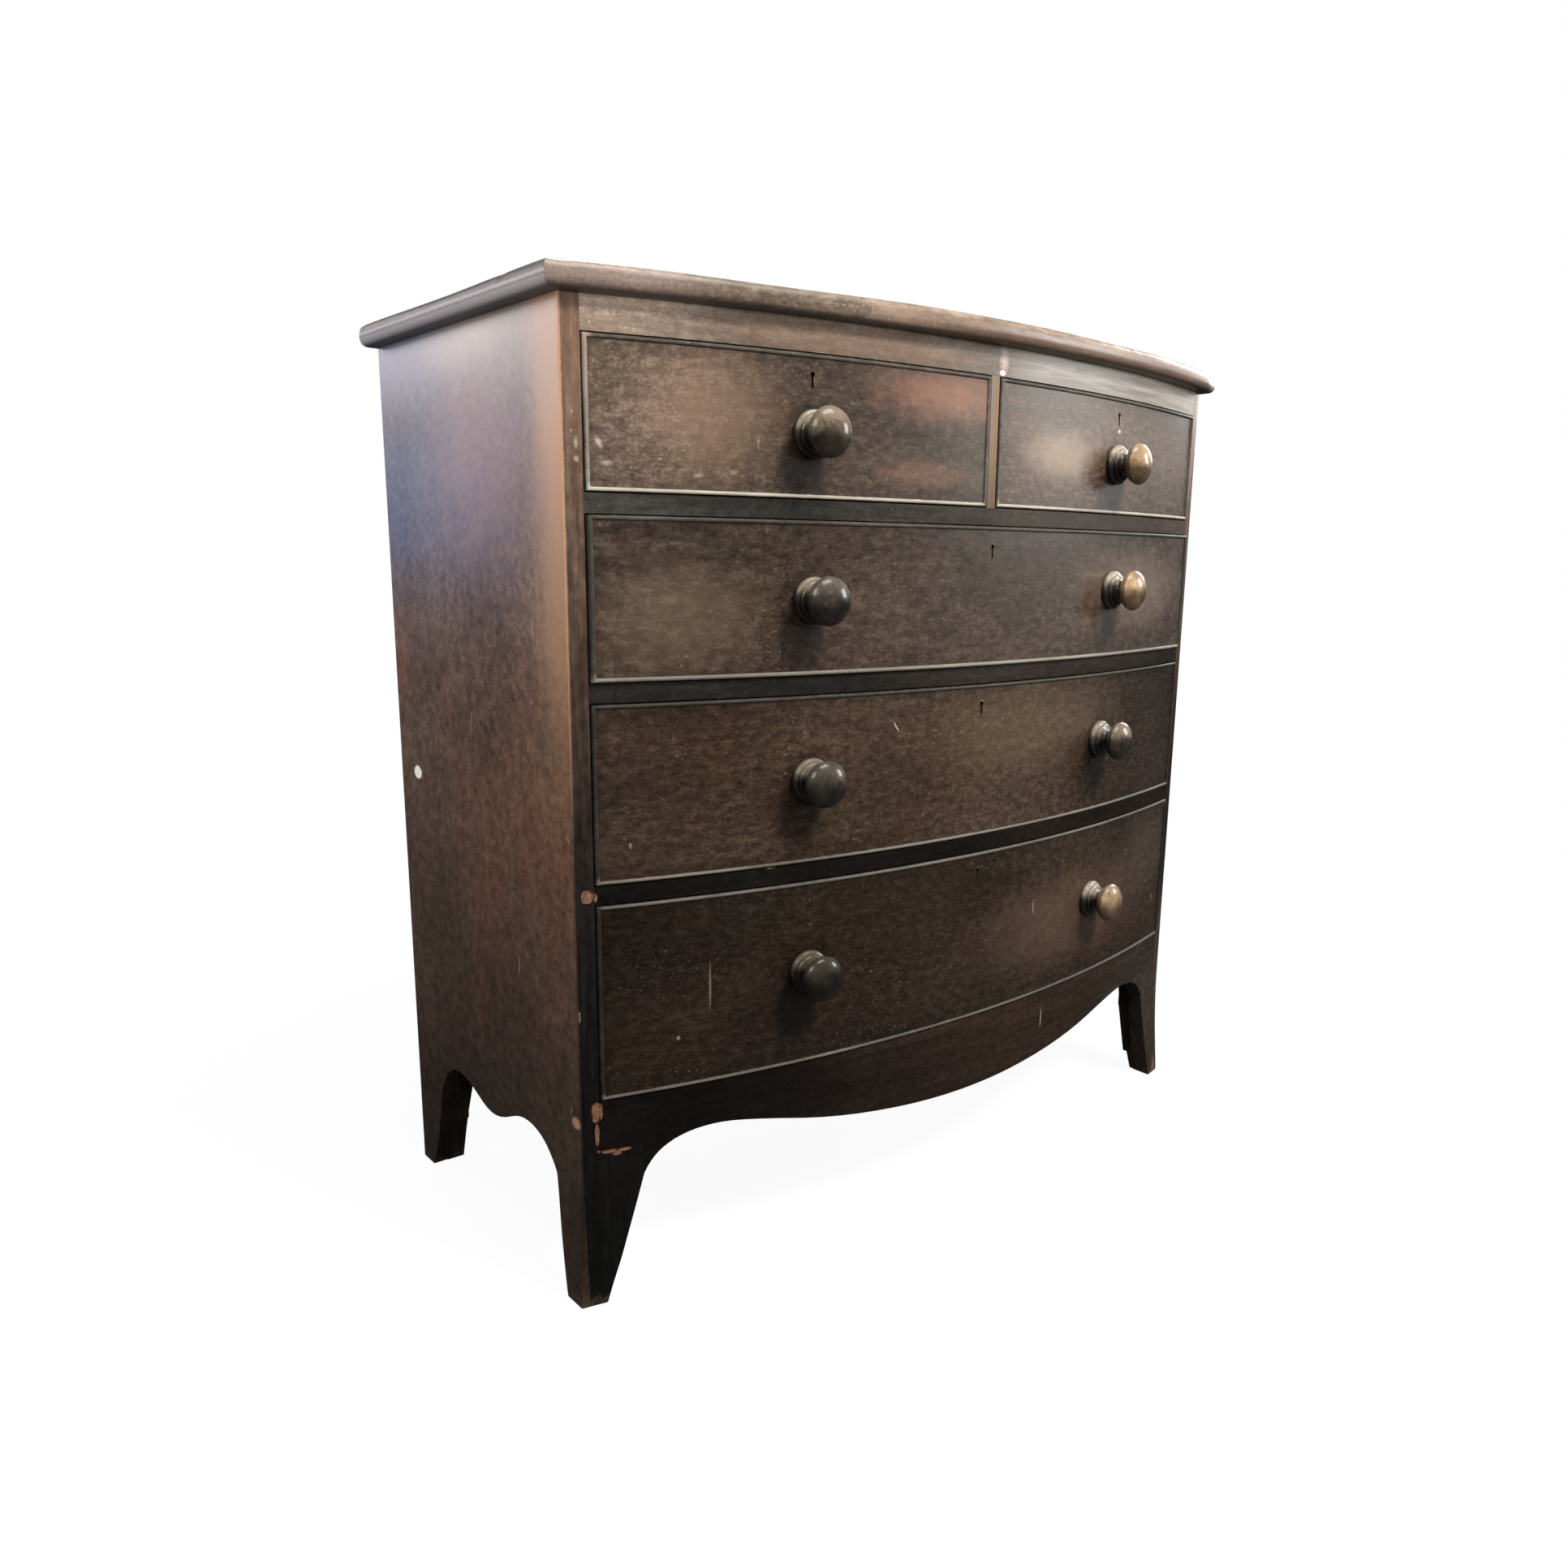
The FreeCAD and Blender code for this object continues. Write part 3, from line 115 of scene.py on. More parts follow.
# ------------------------------------------------------------------ shaders
class Shade:
    """A procedural material on the Principled shader, in the object's own coordinates."""

    def __init__(self, name):
        self.mat = bpy.data.materials.new(name)
        self.mat.use_nodes = True
        self.tree = self.mat.node_tree
        self.nodes = self.tree.nodes
        self.bsdf = self.nodes["Principled BSDF"]
        self.obj = self.nodes.new("ShaderNodeTexCoord").outputs["Object"]
        s = self.nodes.new("ShaderNodeSeparateXYZ")
        self.put(self.obj, s.inputs[0])
        self.x, self.y, self.z = s.outputs[0], s.outputs[1], s.outputs[2]

    def put(self, value, socket):
        if isinstance(value, bpy.types.NodeSocket):
            self.tree.links.new(value, socket)
        else:
            socket.default_value = value

    def m(self, op, a, b=None, c=None, clamp=False):
        n = self.nodes.new("ShaderNodeMath")
        n.operation = op
        n.use_clamp = clamp
        for v, s in zip((a, b, c), n.inputs):
            if v is not None:
                self.put(v, s)
        return n.outputs[0]

    def add(self, a, b):
        return self.m("ADD", a, b)

    def sub(self, a, b):
        return self.m("SUBTRACT", a, b)

    def mul(self, a, b):
        return self.m("MULTIPLY", a, b)

    def vec(self, x, y, z):
        n = self.nodes.new("ShaderNodeCombineXYZ")
        for v, s in zip((x, y, z), n.inputs):
            self.put(v, s)
        return n.outputs[0]

    def step(self, v, a, b, lo=0.0, hi=1.0):
        """Smooth step of v from a to b."""
        n = self.nodes.new("ShaderNodeMapRange")
        n.interpolation_type = "SMOOTHSTEP"
        n.clamp = True
        if a > b:
            a, b, lo, hi = b, a, hi, lo
        for v_, s in zip((v, a, b, lo, hi), n.inputs):
            self.put(v_, s)
        return n.outputs[0]

    def noise(self, vec, scale=1.0, detail=4.0, rough=0.5, dist=0.0):
        n = self.nodes.new("ShaderNodeTexNoise")
        self.put(vec, n.inputs["Vector"])
        n.inputs["Scale"].default_value = scale
        n.inputs["Detail"].default_value = detail
        n.inputs["Roughness"].default_value = rough
        n.inputs["Distortion"].default_value = dist
        return n.outputs[0]

    def mix(self, f, a, b, blend="MIX"):
        n = self.nodes.new("ShaderNodeMix")
        n.data_type = "RGBA"
        n.blend_type = blend
        n.clamp_factor = True
        self.put(f, n.inputs[0])
        self.put(rgb(a), n.inputs[6])
        self.put(rgb(b), n.inputs[7])
        return n.outputs[2]

    def ramp(self, f, stops):
        n = self.nodes.new("ShaderNodeValToRGB")
        self.put(f, n.inputs[0])
        e = n.color_ramp.elements
        while len(e) < len(stops):
            e.new(0.5)
        for el, (p, c) in zip(e, stops):
            el.position = p
            el.color = rgb(c)
        return n.outputs[0]

    def bump(self, height, strength, distance):
        n = self.nodes.new("ShaderNodeBump")
        n.inputs["Strength"].default_value = strength
        n.inputs["Distance"].default_value = distance
        self.put(height, n.inputs["Height"])
        self.put(n.outputs[0], self.bsdf.inputs["Normal"])

    def spot(self, u, v, cu, cv, ru, rv, wob=0.5, freq=400.0, edge=0.35, tilt=0.0):
        """A ragged spot of half sizes ru, rv at (cu, cv)."""
        du, dv = self.sub(u, cu), self.sub(v, cv)
        if tilt:
            c, s = math.cos(tilt), math.sin(tilt)
            du, dv = self.add(self.mul(du, c), self.mul(dv, s)), self.sub(self.mul(dv, c), self.mul(du, s))
        du, dv = self.mul(du, 1.0 / ru), self.mul(dv, 1.0 / rv)
        d = self.m("SQRT", self.add(self.mul(du, du), self.mul(dv, dv)))
        w = self.noise(self.obj, freq, 3.0, 0.6)
        d = self.add(d, self.mul(self.sub(w, 0.5), wob * 2.0))
        return self.step(d, 1.0 + edge, 1.0 - edge)

    def most(self, masks):
        out = masks[0]
        for k in masks[1:]:
            out = self.m("MAXIMUM", out, k)
        return out

    def surface(self, spec=0.5, coat=0.0, coat_rough=0.2, ior=1.5):
        b = self.bsdf.inputs
        b["Specular IOR Level"].default_value = spec
        b["Coat Weight"].default_value = coat
        b["Coat Roughness"].default_value = coat_rough
        b["IOR"].default_value = ior


def rgb(c):
    if isinstance(c, bpy.types.NodeSocket):
        return c
    return (c[0], c[1], c[2], 1.0)


def scaled(c, k):
    return tuple(v * k for v in c)


def bow_coords(s):
    """Length along the bow, depth behind it and height, as sockets."""
    dy = s.m("SUBTRACT", YC, s.y)
    r = s.m("SQRT", s.add(s.mul(s.x, s.x), s.mul(dy, dy)))
    ang = s.m("ARCTAN2", s.x, dy)
    return s.mul(ang, R), s.sub(r, R), s.z


def timber(s, along, across, deep, dark, mid, light, seed=0.0, contrast=1.0, mottle=1.0, pores=1.0,
           specks=0.4, stain=1.0, rough=0.42, rough_var=0.18, bump=0.35, speck_col=(0.26, 0.21, 0.165)):
    """Colour, roughness and bump of polished mahogany or plain softwood.  Returns the colour and
    the noises, so that a caller can lay local marks over them."""
    def v(a, c):
        return s.vec(s.add(s.mul(along, a), seed), s.add(s.mul(across, c), seed * 0.37), s.mul(deep, c))

    fig = s.noise(v(2.6, 20.0), 1.0, 3.0, 0.55, 0.8)
    streak = s.noise(v(11.0, 190.0), 1.0, 5.0, 0.62, 0.3)
    fine = s.noise(v(75.0, 900.0), 1.0, 3.0, 0.6)
    mott = s.noise(v(75.0, 120.0), 1.0, 4.0, 0.66)
    small = s.noise(v(230.0, 330.0), 1.0, 3.0, 0.6)
    blot = s.noise(v(4.2, 6.4), 1.0, 3.0, 0.5, 0.4)
    val = s.add(0.5, s.mul(s.sub(fig, 0.5), 0.9 * contrast))
    val = s.add(val, s.mul(s.sub(streak, 0.5), 0.75 * contrast))
    val = s.add(val, s.mul(s.sub(mott, 0.5), 1.0 * mottle))
    val = s.add(val, s.mul(s.sub(small, 0.5), 0.7 * mottle))
    val = s.add(val, s.mul(s.sub(blot, 0.5), 1.0 * stain))
    col = s.ramp(val, [(0.12, dark), (0.5, mid), (0.88, light)])
    # open pores, dark and drawn out along the grain
    p = s.mul(s.step(fine, 0.60, 0.70), pores)
    col = s.mix(s.mul(p, 0.6), col, scaled(dark, 0.55))
    # pale specks of worn polish and dust, gathered in patches
    sp = s.noise(s.vec(s.add(s.mul(along, 210.0), seed), s.mul(across, 330.0), s.mul(deep, 330.0)), 1.0, 2.0, 0.5)
    where = s.step(s.noise(v(9.0, 13.0), 1.0, 2.0, 0.5), 0.42, 0.62)
    sm = s.mul(s.mul(s.step(sp, 0.63, 0.74), where), specks)
    col = s.mix(sm, col, speck_col)
    r = s.add(rough, s.mul(s.sub(mott, 0.5), rough_var))
    r = s.add(r, s.mul(s.sub(blot, 0.5), rough_var * 1.2))
    r = s.add(r, s.mul(sm, 0.12))
    h = s.add(s.mul(streak, 0.55), s.mul(fine, 0.35))
    h = s.add(h, s.mul(mott, 0.45))
    h = s.sub(h, s.mul(p, 0.35))
    s.put(s.m("MINIMUM", s.m("MAXIMUM", r, 0.12), 0.85), s.bsdf.inputs["Roughness"])
    s.bump(h, bump, 0.0006)
    return col, {"mott": mott, "streak": streak, "blot": blot, "small": small, "fig": fig, "fine": fine}


def edge_distance(s, x, z, x0, x1, z0, z1):
    """Distance inside a rectangle in the x, z plane."""
    d = s.m("MINIMUM", s.sub(x, x0), s.sub(x1, x))
    return s.m("MINIMUM", d, s.m("MINIMUM", s.sub(z, z0), s.sub(z1, z)))


# palettes, linear
DR_DARK, DR_MID, DR_LIGHT = (0.026, 0.0155, 0.0105), (0.068, 0.041, 0.028), (0.150, 0.098, 0.070)
SD_DARK, SD_MID, SD_LIGHT = (0.034, 0.019, 0.012), (0.082, 0.048, 0.030), (0.145, 0.092, 0.058)
ST_DARK, ST_MID, ST_LIGHT = (0.029, 0.017, 0.012), (0.074, 0.044, 0.033), (0.145, 0.092, 0.069)
RL_DARK, RL_MID, RL_LIGHT = (0.014, 0.011, 0.009), (0.034, 0.025, 0.020), (0.070, 0.052, 0.042)
FZ_DARK, FZ_MID, FZ_LIGHT = (0.036, 0.025, 0.018), (0.080, 0.057, 0.043), (0.155, 0.118, 0.094)
BARE = (0.40, 0.19, 0.085)


def tinted(s, col, mask, tint, k):
    return s.mix(s.mul(mask, k), col, tint)


def drawer_material(name, which, zlo, zhi, xlo, xhi, seed, tone=1.0, warm=0.0, marks=(), fall=(1.0, 1.0, 1.0), shine=1.0):
    """fall: painted light, the brightness at the left end, the middle and the right end of the drawer."""
    s = Shade(name)
    a, d, z = bow_coords(s)
    t = lambda c: (c[0] * tone * (1 + warm), c[1] * tone, c[2] * tone * (1 - warm))
    col, n = timber(s, a, z, d, t(DR_DARK), t(DR_MID), t(DR_LIGHT), seed=seed, contrast=0.50, mottle=1.45,
                    specks=0.22, stain=0.55, rough=0.44, rough_var=0.22, bump=0.32)
    # broad patches of redder, greyer and yellower polish
    red = s.step(s.noise(s.vec(s.add(s.mul(a, 6.0), seed), s.mul(z, 9.0), seed), 1.0, 3.0, 0.55), 0.50, 0.68)
    col = s.mix(s.mul(red, 0.36), col, (1.16, 0.98, 0.82), "MULTIPLY")
    grey = s.step(s.noise(s.vec(s.add(s.mul(a, 5.0), seed + 9.0), s.mul(z, 7.0), seed), 1.0, 3.0, 0.55), 0.50, 0.70)
    col = s.mix(s.mul(grey, 0.6), col, (0.86, 0.95, 0.98), "MULTIPLY")
    olive = s.step(s.noise(s.vec(s.add(s.mul(a, 8.0), seed + 21.0), s.mul(z, 11.0), seed), 1.0, 3.0, 0.6), 0.44, 0.62)
    col = s.mix(s.mul(olive, 0.55), col, (0.98, 1.06, 0.86), "MULTIPLY")
    # painted shade: darker along the beads, where they shade the front
    e = edge_distance(s, s.x, s.z, xlo, xhi, zlo, zhi)
    w = s.mul(s.sub(n["mott"], 0.5), 0.012)
    col = s.mix(s.step(s.add(e, w), 0.016, 0.003, 0.0, 0.28), col, (0.42, 0.44, 0.47), "MULTIPLY")
    # painted contact shade with some grime: a darker halo round each knob
    for kx, kz in KNOBS[which]:
        dx, dz = s.sub(s.x, kx), s.sub(s.z, kz)
        dist = s.m("SQRT", s.add(s.mul(dx, dx), s.mul(dz, dz)))
        col = s.mix(s.step(s.add(dist, w), 0.046, 0.024, 0.0, 0.55), col, (0.35, 0.36, 0.38), "MULTIPLY")
        # painted shadow of each knob, cast down and a little to the left
        lx, lz = s.sub(s.x, kx - 0.013), s.sub(s.z, kz - 0.040)
        lx, lz = s.mul(lx, 1.0 / 0.029), s.mul(lz, 1.0 / 0.042)
        ld = s.m("SQRT", s.add(s.mul(lx, lx), s.mul(lz, lz)))
        col = s.mix(s.step(s.add(ld, s.mul(w, 22.0)), 1.22, 0.66, 0.0, 0.80), col, (0.36, 0.42, 0.44), "MULTIPLY")
    for kind, (cu, cv, ru, rv), more in marks:
        k = s.spot(s.x, s.z, cu, cv, ru, rv, **{q: v for q, v in more.items() if q in ("wob", "freq", "edge", "tilt")})
        col = s.mix(s.mul(k, more.get("k", 0.8)), col, kind, more.get("blend", "MIX"))
    # tails of the sides let into the ends, joined by dark glue lines
    out, pitch = 0.0045, 0.033
    end = s.step(s.m("ABSOLUTE", s.sub(s.x, (xlo + xhi) / 2)), (xhi - xlo) / 2 + out - 0.0008, (xhi - xlo) / 2 + out - 0.0004)
    off = s.sub(pitch / 2, s.m("PINGPONG", s.add(s.z, 0.004 - zlo), pitch / 2))
    half = s.step(d, -0.0225, -0.0130, 0.0052, 0.0088)
    reach = s.mul(s.step(d, -0.0128, -0.0134), end)
    tail = s.mul(s.step(s.sub(off, half), 0.0002, -0.0002), reach)
    col = s.mix(tail, col, s.mix(s.step(n["streak"], 0.35, 0.65), (0.20, 0.120, 0.062), (0.31, 0.205, 0.115)))
    glue = s.mul(s.step(s.m("ABSOLUTE", s.sub(off, half)), 0.0006, 0.0002), reach)
    col = s.mix(s.mul(glue, 0.8), col, (0.020, 0.012, 0.008))
    # painted light: the front brightens and dims from end to end by the falloff values
    mid_x = (xlo + xhi) / 2
    left = s.step(s.x, xlo, mid_x, fall[0], fall[1])
    right = s.step(s.x, mid_x, xhi, 1.0, fall[2] / fall[1])
    f = s.mul(left, right)
    col = s.mix(1.0, col, s.vec(f, f, f), "MULTIPLY")
    s.put(col, s.bsdf.inputs["Base Color"])
    s.surface(spec=0.5 * shine, coat=0.10 * shine, coat_rough=0.24)
    return s.mat


PALE = (0.42, 0.36, 0.31)
REDDISH = (0.23, 0.105, 0.065)
MARKS = {
    "left": [
        (REDDISH, (-0.070, 0.9700, 0.080, 0.022), dict(k=0.30, wob=0.6, freq=60.0, edge=0.9)),
        (REDDISH, (-0.110, 0.8850, 0.060, 0.012), dict(k=0.12, wob=0.6, freq=80.0, edge=0.6)),
        ((0.088, 0.055, 0.036), (-0.360, 0.9300, 0.060, 0.050), dict(k=0.40, wob=0.5, freq=50.0, edge=0.7)),
        (PALE, (-0.4760, 0.8983, 0.0020, 0.0046), dict(k=0.15, wob=0.9, tilt=0.5, freq=900.0, edge=0.9)),
        (PALE, (-0.4690, 0.8800, 0.0042, 0.0021), dict(k=0.12, wob=0.9, freq=900.0, edge=0.9)),
        (PALE, (-0.3800, 0.8720, 0.0044, 0.0016), dict(k=0.09, wob=0.9, freq=700.0, edge=0.8)),
        (PALE, (-0.3420, 0.8760, 0.0034, 0.0020), dict(k=0.09, wob=0.9, freq=700.0, edge=0.8)),
        (PALE, (-0.3150, 0.9070, 0.0014, 0.0042), dict(k=0.09, wob=0.9, freq=700.0, edge=0.8)),
    ],
    "right": [
        ((0.19, 0.135, 0.095), (0.130, 0.9180, 0.060, 0.024), dict(k=0.45, wob=0.6, freq=60.0, edge=0.8)),
        (PALE, (0.2560, 0.9560, 0.0030, 0.0022), dict(k=0.6, wob=0.5)),
    ],
    "upper": [
        ((0.13, 0.085, 0.055), (-0.40, 0.735, 0.07, 0.045), dict(k=0.16, wob=0.5, freq=50.0, edge=0.7)),
        ((0.16, 0.11, 0.085), (0.33, 0.760, 0.12, 0.04), dict(k=0.25, wob=0.5, freq=50.0, edge=0.7)),
    ],
    "middle": [
        ((0.15, 0.10, 0.055), (0.10, 0.590, 0.16, 0.045), dict(k=0.10, wob=0.5, freq=45.0, edge=0.7)),
        (PALE, (-0.4535, 0.5060, 0.0018, 0.0030), dict(k=0.16, wob=0.5)),
        (PALE, (-0.1360, 0.6090, 0.0012, 0.0060), dict(k=0.26, wob=0.5, tilt=0.6)),
    ],
    "lower": [
        (PALE, (-0.3700, 0.3430, 0.0011, 0.0230), dict(k=0.18, wob=0.35, edge=0.5)),
        (PALE, (0.1160, 0.3550, 0.0012, 0.0090), dict(k=0.22, wob=0.35, edge=0.5)),
        (PALE, (-0.4060, 0.2903, 0.0020, 0.0022), dict(k=0.28, wob=0.4)),
        (PALE, (0.4575, 0.2990, 0.0018, 0.0060), dict(k=0.10, wob=0.4)),
        ((0.12, 0.07, 0.05), (0.20, 0.330, 0.16, 0.05), dict(k=0.22, wob=0.5, freq=45.0, edge=0.7)),
        ((0.055, 0.054, 0.047), (0.43, 0.380, 0.07, 0.05), dict(k=0.15, wob=0.6, freq=30.0, edge=0.9)),
    ],
}


def case_upright(name, seed=0.0, front=False, spec=0.42, coat=0.09):
    """Sides, front uprights and feet: grain runs up."""
    s = Shade(name)
    ax = s.m("ABSOLUTE", s.x)
    outer = s.step(ax, 0.5088, 0.5096)
    # side face
    col_side, n = timber(s, s.z, s.mul(s.y, 0.60), s.x, SD_DARK, SD_MID, SD_LIGHT, seed=seed, contrast=0.42, mottle=1.35,
                         pores=0.35, specks=0.40, stain=0.9, rough=0.40, rough_var=0.16, bump=0.10)
    # painted light: a warm, paler strip beside the front corner, strongest near the top
    wob = s.mul(s.sub(s.noise(s.vec(s.mul(s.z, 7.0), s.mul(s.y, 60.0), 3.0), 1.0, 3.0, 0.6), 0.5), 0.030)
    strip = s.step(s.add(s.y, wob), LINE + 0.082, LINE + 0.014)
    up = s.step(s.z, 0.47, 0.92)
    strip = s.mul(s.mul(strip, up), outer)
    col_side = s.mix(s.mul(strip, 0.82), col_side, (0.345, 0.190, 0.094))
    # reddish cast lower on the side
    red = s.step(s.noise(s.vec(s.mul(s.y, 7.0), s.mul(s.z, 3.2), 5.0), 1.0, 3.0, 0.55), 0.46, 0.66)
    col_side = s.mix(s.mul(red, 0.6), col_side, (1.30, 0.92, 0.80), "MULTIPLY")
    # painted light: lighter under the moulding, and the lit strip yellower there
    top = s.step(s.add(s.z, s.mul(s.sub(n["mott"], 0.5), 0.08)), 0.93, 1.03)
    col_side = s.mix(s.mul(s.mul(top, outer), 0.46), col_side, (0.35, 0.275, 0.215))
    col_side = s.mix(s.mul(strip, s.step(s.z, 0.93, 0.98)), col_side, (0.96, 0.91, 0.72), "MULTIPLY")
    # painted light: the side darker low down and a little dimmer just under the moulding
    f = s.mul(s.step(s.z, 0.34, 0.80, 0.60, 1.05), s.step(s.z, 0.90, 1.0, 1.0, 0.82))
    col_side = s.mix(outer, col_side, s.mix(1.0, col_side, s.vec(f, s.mul(f, 1.03), s.mul(f, 1.05)), "MULTIPLY"))
    # painted reflection: a cool, bluish cast toward the back of the upper side
    far = s.mul(s.step(s.y, -0.02, 0.18), s.step(s.z, 0.70, 0.88, 0.12, 1.0))
    col_side = s.mix(far, col_side, (0.70, 0.95, 1.60), "MULTIPLY")
    # painted sheen: a paler, yellower patch under the moulding, a pinker one below it
    pale = s.spot(s.y, s.z, 0.060, 1.012, 0.085, 0.022, wob=0.6, freq=26.0, edge=0.9)
    col_side = s.mix(s.mul(pale, 0.26), col_side, (0.42, 0.38, 0.27))
    pink = s.spot(s.y, s.z, 0.025, 0.885, 0.095, 0.090, wob=0.6, freq=16.0, edge=0.95)
    col_side = s.mix(s.mul(pink, 0.28), col_side, (0.29, 0.20, 0.24))
    # front faces
    col_front = s.ramp(s.add(0.5, s.add(s.mul(s.sub(n["streak"], 0.5), 1.4), s.mul(s.sub(n["mott"], 0.5), 1.1))),
                       [(0.12, ST_DARK), (0.5, ST_MID), (0.88, ST_LIGHT)])
    # painted light: the front faces darker and cooler towards the bottom, lighter near the top
    fade = s.step(s.z, 0.30, 0.95)
    col_front = s.mix(fade, s.mix(1.0, col_front, (0.24, 0.24, 0.26), "MULTIPLY"), col_front)
    col_front = s.mix(s.mul(s.step(s.z, 0.80, 1.02), 0.30), col_front, (0.165, 0.092, 0.066))
    mid = s.step(ax, 0.05, 0.04)
    lip = s.step(s.m("ABSOLUTE", s.sub(s.x, 0.0065)), 0.0056, 0.0072)
    col_front = s.mix(s.mul(mid, 0.75), col_front, s.mix(lip, (0.118, 0.060, 0.024), (0.112, 0.088, 0.066)))
    col_front = s.mix(s.mul(mid, s.step(s.z, 0.94, 0.85, 0.0, 0.6)), col_front, (0.55, 0.50, 0.45), "MULTIPLY")
    front_marks = []
    for cu, cv, ru, rv in ((-0.4972, 0.8974, 0.0017, 0.0044), (-0.4970, 0.8827, 0.0020, 0.0026),
                           (-0.5000, 0.9250, 0.0006, 0.0014), (-0.5010, 0.9080, 0.0006, 0.0014)):
        front_marks.append(s.spot(s.x, s.z, cu, cv, ru, rv, wob=0.7, freq=900.0, edge=0.7))
    col_front = s.mix(s.mul(s.most(front_marks), 0.42), col_front, (0.38, 0.36, 0.34))
    col = s.mix(outer, col_front, col_side)
    # worn light line on the front corner, partly a painted highlight
    corner = s.m("MAXIMUM", s.m("ABSOLUTE", s.sub(ax, HALF)), s.m("ABSOLUTE", s.sub(s.y, LINE)))
    cm = s.step(s.add(corner, s.mul(s.sub(n["small"], 0.5), 0.0030)), 0.0026, 0.0009)
    col = s.mix(s.mul(s.mul(cm, s.step(s.z, 0.48, 0.90, 0.05, 1.0)), 0.55), col, (0.36, 0.21, 0.135))
    # painted shade: the lower part of the corner darkened so its edge catches no light
    cd = s.step(corner, 0.0032, 0.0012)
    col = s.mix(s.mul(cd, s.step(s.z, 0.62, 0.44, 0.0, 0.85)), col, (0.24, 0.24, 0.25), "MULTIPLY")
    # scratches, a chip at the front edge and a dab of pale paint on the left side
    left = s.step(s.x, -0.5085, -0.5095)
    chip = s.spot(s.y, s.z, LINE + 0.0110, 0.2080, 0.0085, 0.0062, wob=0.14, freq=260.0, edge=0.30)
    sc = []
    for cu, cv, ru, rv, ti in ((-0.1526, 0.5146, 0.0045, 0.0007, 0.5), (-0.0350, 0.3507, 0.0009, 0.0110, 0.1),
                               (0.0600, 0.6100, 0.0008, 0.0140, 0.05), (-0.0930, 0.7200, 0.0007, 0.0120, -0.08),
                               (-0.1440, 0.2200, 0.0010, 0.0050, 0.3)):
        sc.append(s.spot(s.y, s.z, cu, cv, ru, rv, wob=0.3, tilt=ti, freq=300.0))
    col = s.mix(s.mul(s.mul(s.most(sc), left), 0.55), col, (0.36, 0.24, 0.17))
    dab = s.spot(s.y, s.z, 0.2205, 0.5322, 0.0108, 0.0080, wob=0.22, freq=190.0, edge=0.16)
    col = s.mix(s.mul(dab, left), col, (0.66, 0.68, 0.63))
    # painted shade with some dirt: darker and cooler towards the floor
    low = s.step(s.z, 0.42, 0.05)
    col = s.mix(s.mul(low, 0.75), col, (0.165, 0.255, 0.262), "MULTIPLY")
    col = s.mix(s.mul(chip, s.mul(left, 0.90)), col, (0.310, 0.185, 0.120))
    if front:
        # painted light on the front faces: darker and cooler low down, lighter low on the right and at the feet
        f = s.add(s.step(s.z, 0.40, 1.02, 0.26, 0.68), s.mul(s.step(s.x, 0.0, 0.3), s.step(s.z, 0.35, 0.22, 0.0, 2.00)))
        cold = s.add(s.step(s.z, 0.75, 0.30, 1.0, 0.70), s.mul(s.step(s.x, 0.0, 0.3), s.step(s.z, 0.75, 0.30, 0.0, 0.26)))
        f = s.mul(f, s.step(s.z, 0.21, 0.15, 1.0, 1.22))
        col = s.mix(s.sub(1.0, outer), col, s.mix(1.0, col, s.vec(s.mul(f, cold), f, s.mul(f, s.sub(1.9, cold))), "MULTIPLY"))
    toe = s.step(s.add(s.z, s.mul(s.sub(n["mott"], 0.5), 0.05)), 0.014, 0.002)
    heel = s.spot(s.x, s.z, 0.5060, 0.0120, 0.0050, 0.0130, wob=0.4, freq=200.0, edge=0.6)
    col = s.mix(s.m("MAXIMUM", s.mul(toe, 0.22), s.mul(heel, 0.8)), col, (0.105, 0.070, 0.050))
    s.put(col, s.bsdf.inputs["Base Color"])
    s.surface(spec=spec, coat=coat, coat_rough=0.22)
    return s.mat


